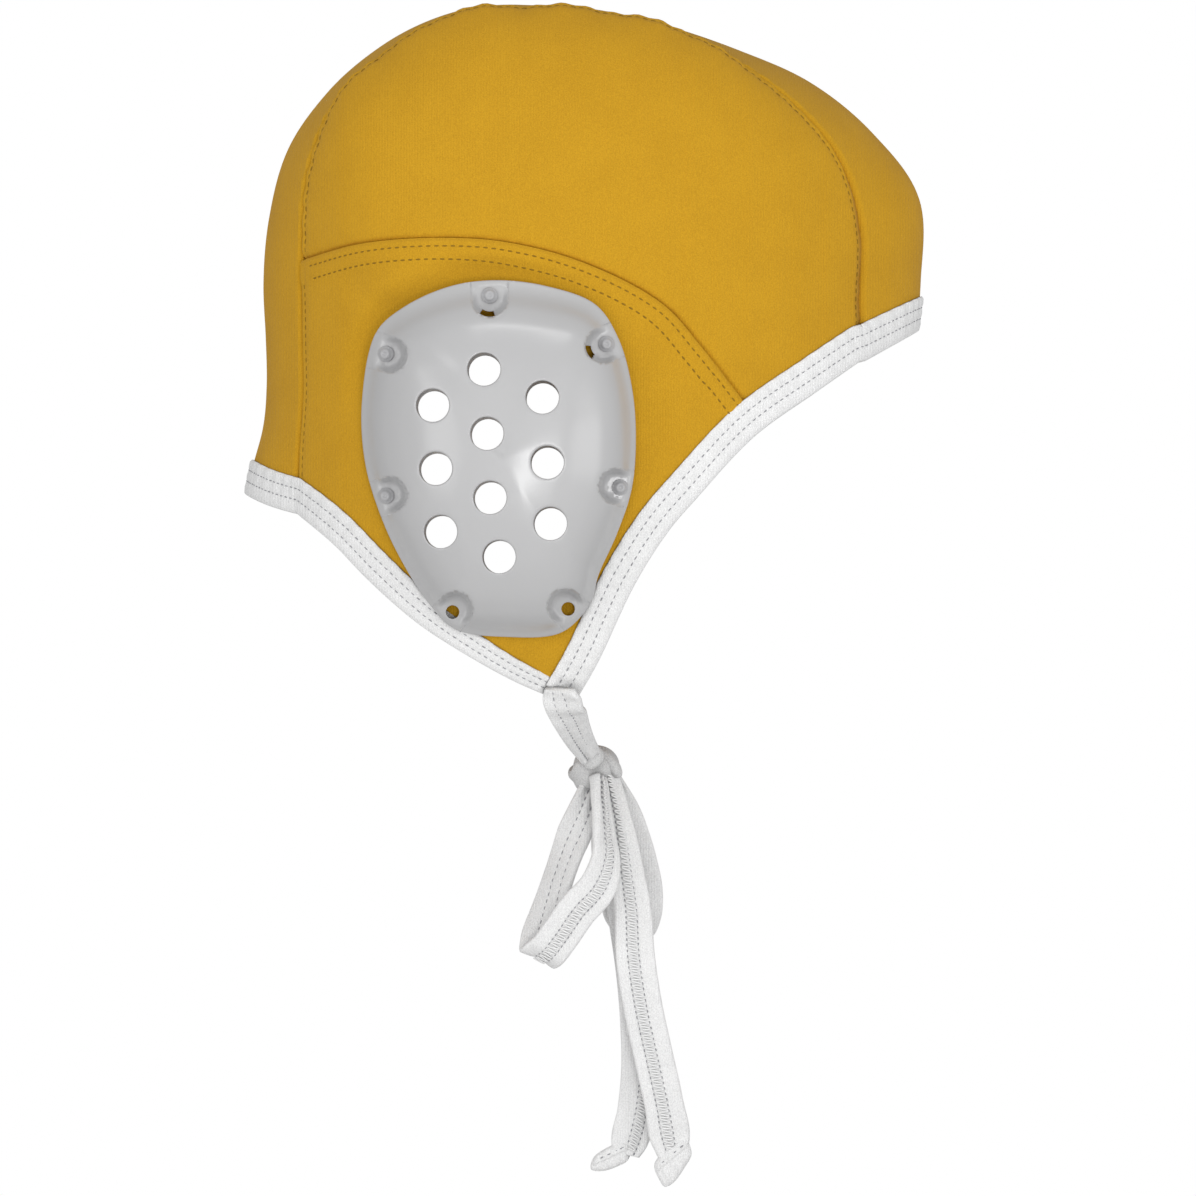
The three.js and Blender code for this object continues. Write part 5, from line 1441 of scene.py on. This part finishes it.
def ladder(stations, needles, side, wave):
    """Threads that cross to and fro between the two needle rows on one face."""
    _, along, _, thick, _, length = stations
    rungs = np.arange(NEEDLE_PITCH, length[-1] - NEEDLE_PITCH, NEEDLE_PITCH / 2)

    def at_rungs(values, shift=0.0):
        return np.stack([np.interp(rungs + shift, length, column) for column in values.T], 1)

    left, right = (
        at_rungs(tape_surface(stations, needle, side, wave * side + LADDER_RISE / 3), shift)
        for needle, shift in zip(needles, (-LADDER_SHIFT, LADDER_SHIFT))
    )
    lean = np.where(np.arange(len(rungs)) % 2 == 0, 1, -1)[:, None]
    tangent = right - left + at_rungs(along) * lean * NEEDLE_PITCH * LADDER_LEAN
    reach = np.linalg.norm(tangent, axis=1)[:, None, None] * LADDER_OVERLAP
    normal = at_rungs(thick) * side
    middle = (left + right) / 2 + normal * LADDER_RISE
    return stitches(middle, tangent, normal, reach, **LADDER_THREAD)


def folded_tape(name, node, route, needles, ladder_side, leads=(0, 0), cut=False):
    """A tape of folded knit: a ladder of crossing threads on one face, two needle rows on the other."""
    stations = route_stations(route, leads, cut)
    points, _, _, thick, _, length = stations
    wave = TAPE_WAVE * swaying_wave(length, *TAPE_WAVE_TURNS)
    sections = tape_grid(stations, needles, ladder_side, wave)
    v = lengths_along(sections[0])
    uv = np.stack(np.broadcast_arrays(v[None, :], length[:, None]), -1).reshape(-1, 2)
    uv = np.concatenate([uv, uv[[0, -1]]])
    piece = add_piece(name, sweep(sections), tape_material, [node], uv)
    marks = []
    for needle in needles:
        for side in (1, -1):
            line = tape_surface(stations, needle, side, wave * side - NEEDLE_DIP)
            # on the ladder face the needle rows are dots of painted hole shade
            stitch = NEEDLE_HOLE_SHADE if side == ladder_side else TAPE_STITCH
            marks.append(stitch_row(line, thick * side, **stitch))
    threads = ladder(stations, needles, ladder_side, wave)
    rows = add_piece(name + "_needle_rows", joined(marks), tape_thread_painted_shade_material)
    rungs = add_piece(name + "_ladder", threads, ladder_thread_material)
    return [piece, rows, rungs], points, float(length[-1])


def free_tape(name, node, route, needles, ladder_side, far_end, end_pieces=()):
    tail = far_end == "knot"
    leads = (KNOT_LEAD, TIP_LEAD if tail else KNOT_LEAD)
    (piece, *threads), points, length = folded_tape(name, node, route, needles, ladder_side, leads, tail)


def chin_ties():
    pieces = folded_tape("chin_right", "chin_tie_right", CHIN_TIE, (-0.2, 0.12), -1, leads=(FLAP_LEAD, 0))[0]
    for piece, node in zip(pieces, ("chin_tie_left", None, None)):
        copy_to_left(piece, node)


def copy_to_left(piece, node):
    """The mirror image of a piece on the wearer's left."""
    mesh = piece.data.copy()
    mirror = np.array([1.0, -1.0, 1.0])
    places = np.empty(len(mesh.vertices) * 3)
    mesh.vertices.foreach_get("co", places)
    mesh.vertices.foreach_set("co", (places.reshape(-1, 3) * mirror).ravel())
    mesh.flip_normals()
    twin = bpy.data.objects.new(piece.name.replace("right", "left"), mesh)
    bpy.context.collection.objects.link(twin)
    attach(twin, "root")
    if node:
        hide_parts(node)


# Knot and tips

KNOT_HALF = np.array([7.2, 9.0, 6.6])
WRAP_TILT = 42
WRAP_MIDDLE = np.array([-1.6, 0, -1.2])
WRAP_HALF = (7.2, 9.4)
WRAP_SECTION = (4.6, 1.9)
WRAP_CREASE, WRAP_CREASE_TURN, WRAP_CREASE_WIDTH = 0.28, 0.25, 0.3
WRAP_SWELL = 0.1
ROLL_CREASE_TURN, ROLL_CREASE_WIDTH = 1.1, 0.22
# Soft rolls over the knot: the near tie's end on its camera side, and folds behind it
NEAR_ROLL = [
    (17.4, -15.2, -96.8, 0, 40, 0.5), (20, -14.2, -99.4, 0, 42, 0.6), (22.4, -13.4, -101.8, 0, 44, 0.66),
    (24.4, -12.4, -104, 0, 46, 0.62),
]
FRONT_FOLD = [
    (24, -5, -99.8, 0, 50, 0.3), (26.4, -5.6, -102, 0, 52, 0.38), (28.8, -5.2, -104.8, 0, 58, 0.38),
    (30.4, -3.6, -108, 0, 64, 0.3),
]
BACK_FOLD = [
    (24.4, 2, -100.8, 0, 48, 0.36), (26.8, 2.4, -102.8, 0, 50, 0.42), (28.8, 2.6, -105.6, 0, 56, 0.42),
    (30, 2.8, -108.8, 0, 62, 0.34),
]


def roll(route, thickness, crease):
    """A soft roll with round ends and a crease along it."""
    points, _, wide, thick, width, length = route_stations(route)
    t = length / length[-1]
    close = np.sqrt(np.clip(1 - np.abs(2 * t - 1) ** 6, 0.001, 1))
    turns = round_turns(36)
    off_crease = np.mod(turns - ROLL_CREASE_TURN, 2 * math.pi) - math.pi
    swell = 1 - crease * bump(off_crease, ROLL_CREASE_WIDTH)
    across = (TAPE_WIDTH * width * close / 2)[:, None] * np.cos(turns) * swell
    deep = (thickness * close / 2)[:, None] * np.sin(turns) * swell
    return sweep(points[:, None] + wide[:, None] * across[..., None] + thick[:, None] * deep[..., None])


def knot_core(centre):
    """A soft ellipsoid."""
    rises = np.linspace(-1, 1, 25)[1:-1] * math.pi / 2
    circle = on_circle(round_turns(48))
    rings = [np.column_stack([circle * math.cos(r), np.full(len(circle), math.sin(r))]) for r in rises]
    return sweep(centre + np.stack(rings) * KNOT_HALF)


def knot_wrap(centre):
    """The tape that goes slantwise round the knot's core, with a crease and soft swellings."""
    tilt = math.radians(WRAP_TILT)
    level = np.array([math.cos(tilt), 0, math.sin(tilt)]) * WRAP_HALF[0]
    axis = np.array([-math.sin(tilt), 0, math.cos(tilt)])
    around = round_turns(72)
    out = on_circle(around) @ np.array([level, [0, WRAP_HALF[1], 0]])
    ring = centre + WRAP_MIDDLE + out * (1 - WRAP_SECTION[1] / WRAP_HALF[0])
    turns = round_turns(28)
    swell = 1 - WRAP_CREASE * bump(turns - WRAP_CREASE_TURN, WRAP_CREASE_WIDTH)
    wave = 1 + WRAP_SWELL * np.sin(3 * around + 0.6)[:, None]
    tall = WRAP_SECTION[0] * np.sin(turns) * wave
    deep = WRAP_SECTION[1] * np.cos(turns) * swell * wave
    return sweep(ring[:, None] + axis * tall[..., None] + unit(out)[:, None] * deep[..., None], closed=True)


def bow_knot():
    """The knot: a core, a tape wrapped slantwise round it, and the rolls of the ties' ends."""
    centre = EAR + np.array([KNOT_AHEAD, 0, -KNOT_DROP])
    rolls = [roll(NEAR_ROLL, 5.2, 0.1), roll(FRONT_FOLD, 4.4, 0.2), roll(BACK_FOLD, 6, 0.2)]
    shape = joined([knot_core(centre), knot_wrap(centre), *rolls])
    add_piece("knot", shape, knot_painted_shade_material, ["bow_knot"])


TIP_RINGS = 14
TIP_PLUMP = 0.82  # how full the tip's pillow is
TIP_STEP = 0.45
TIP_INNERMOST = 0.96  # the share of the way to the middle at which the rings end
FOLD_RISE = 0.5
CRUMPLE = 0.22
CRUMPLE_TURNS = np.array([1.9, 0.8])
TIP_SEAM = 1.3  # the stitch row's distance from the tip's upper edge
TIP_SEAM_END = 0.9  # and from the tip's sides
TIP_STITCH_LIFT = 0.35
TIP_FOLD = 2.6  # how far the folded end reaches from the tip's upper edge


def folded_tip(name, node, side, outline):
    """The folded and stitched end of a tail: a small pillow with a fold across its upper edge."""
    curve = curve_through(np.array(outline, float), closed=True)
    rim = evenly(np.vstack([curve(shares), curve(np.array([0.0]))]), TIP_STEP)[:-1]
    middle = rim.mean(0)
    start, end = np.array(outline[0], float), np.array(outline[1], float)
    edge = (end - start) / np.linalg.norm(end - start)
    down = np.array([edge[1], -edge[0]])
    rings = []
    for face in (1, -1):
        for inwards in np.linspace(TIP_INNERMOST, 0, TIP_RINGS)[::face]:
            flat = rim + (middle - rim) * inwards
            below = (flat - start) @ down
            dome = TIP_PLUMP * TIP_THICKNESS / 2 * (1 - (1 - inwards) ** 3) ** 0.5
            fold = FOLD_RISE * (1 - smoothstep(below, TIP_FOLD - 0.5, TIP_FOLD)) * smoothstep(inwards, 0, 0.2)
            crumple = CRUMPLE * np.sin(flat @ CRUMPLE_TURNS) * smoothstep(inwards, 0, 0.4)
            deep = side + face * (dome + fold + crumple)
            rings.append(np.stack([EAR[0] + flat[:, 0], deep, EAR[2] + flat[:, 1]], 1))
    piece = add_piece(name, sweep(np.stack(rings)), tape_material, [node])
    ends = np.array([start + edge * TIP_SEAM_END, end - edge * TIP_SEAM_END]) + down * TIP_SEAM
    rows = []
    for face in (1, -1):
        level = side + face * (TIP_PLUMP * TIP_THICKNESS / 2 + TIP_STITCH_LIFT)
        line = np.stack([EAR[0] + ends[:, 0], np.full(2, level), EAR[2] + ends[:, 1]], 1)
        rows.append(stitch_row(line, np.tile([0, float(face), 0], (2, 1)), **TAPE_STITCH))
    return [piece, add_piece(name + "_stitches", joined(rows), tape_thread_painted_shade_material)]


# Everything in place



def add_floor():
    rim = [(x, y, -FLOOR_DROP) for x, y in on_circle(round_turns(64), radius=FLOOR_RADIUS).tolist()]
    mesh = bpy.data.meshes.new("floor")
    mesh.from_pydata(rim, [], [tuple(range(len(rim)))])
    mesh.materials.append(floor_material)
    floor = bpy.data.objects.new("floor", mesh)
    bpy.context.collection.objects.link(floor)


add_floor()

free_tape("loop_near", "bow_loop_near", BOW_LOOP_NEAR, (-0.1, 0.22), -1, "object")
free_tape("loop_far", "bow_loop_far", BOW_LOOP_FAR, (-0.21, 0.1), 1, "object")
free_tape("tail_near", "tie_tail_near", TIE_TAIL_NEAR, (-0.21, 0.1), 1, "knot",
          folded_tip("tip_near", "tail_tip_near", *TIP_NEAR))
free_tape("tail_far", "tie_tail_far", TIE_TAIL_FAR, (-0.02, 0.28), 1, "knot",
          folded_tip("tip_far", "tail_tip_far", *TIP_FAR))
chin_ties()
bow_knot()

centre_panel()
upper_side_panel()
ear_panel()
panel_stitches()
binding("taped_edge_front", "binding_front", face_edge, BROW_ANGLE, 1, pinch=0.1)
binding(
    "taped_edge_back", "binding_back", nape_edge, NAPE_ANGLE, -1, NAPE_TAPER,
    extend=0.062, sink=1.5, pinch=0.4,
)
ear_guards()
guard_pins()
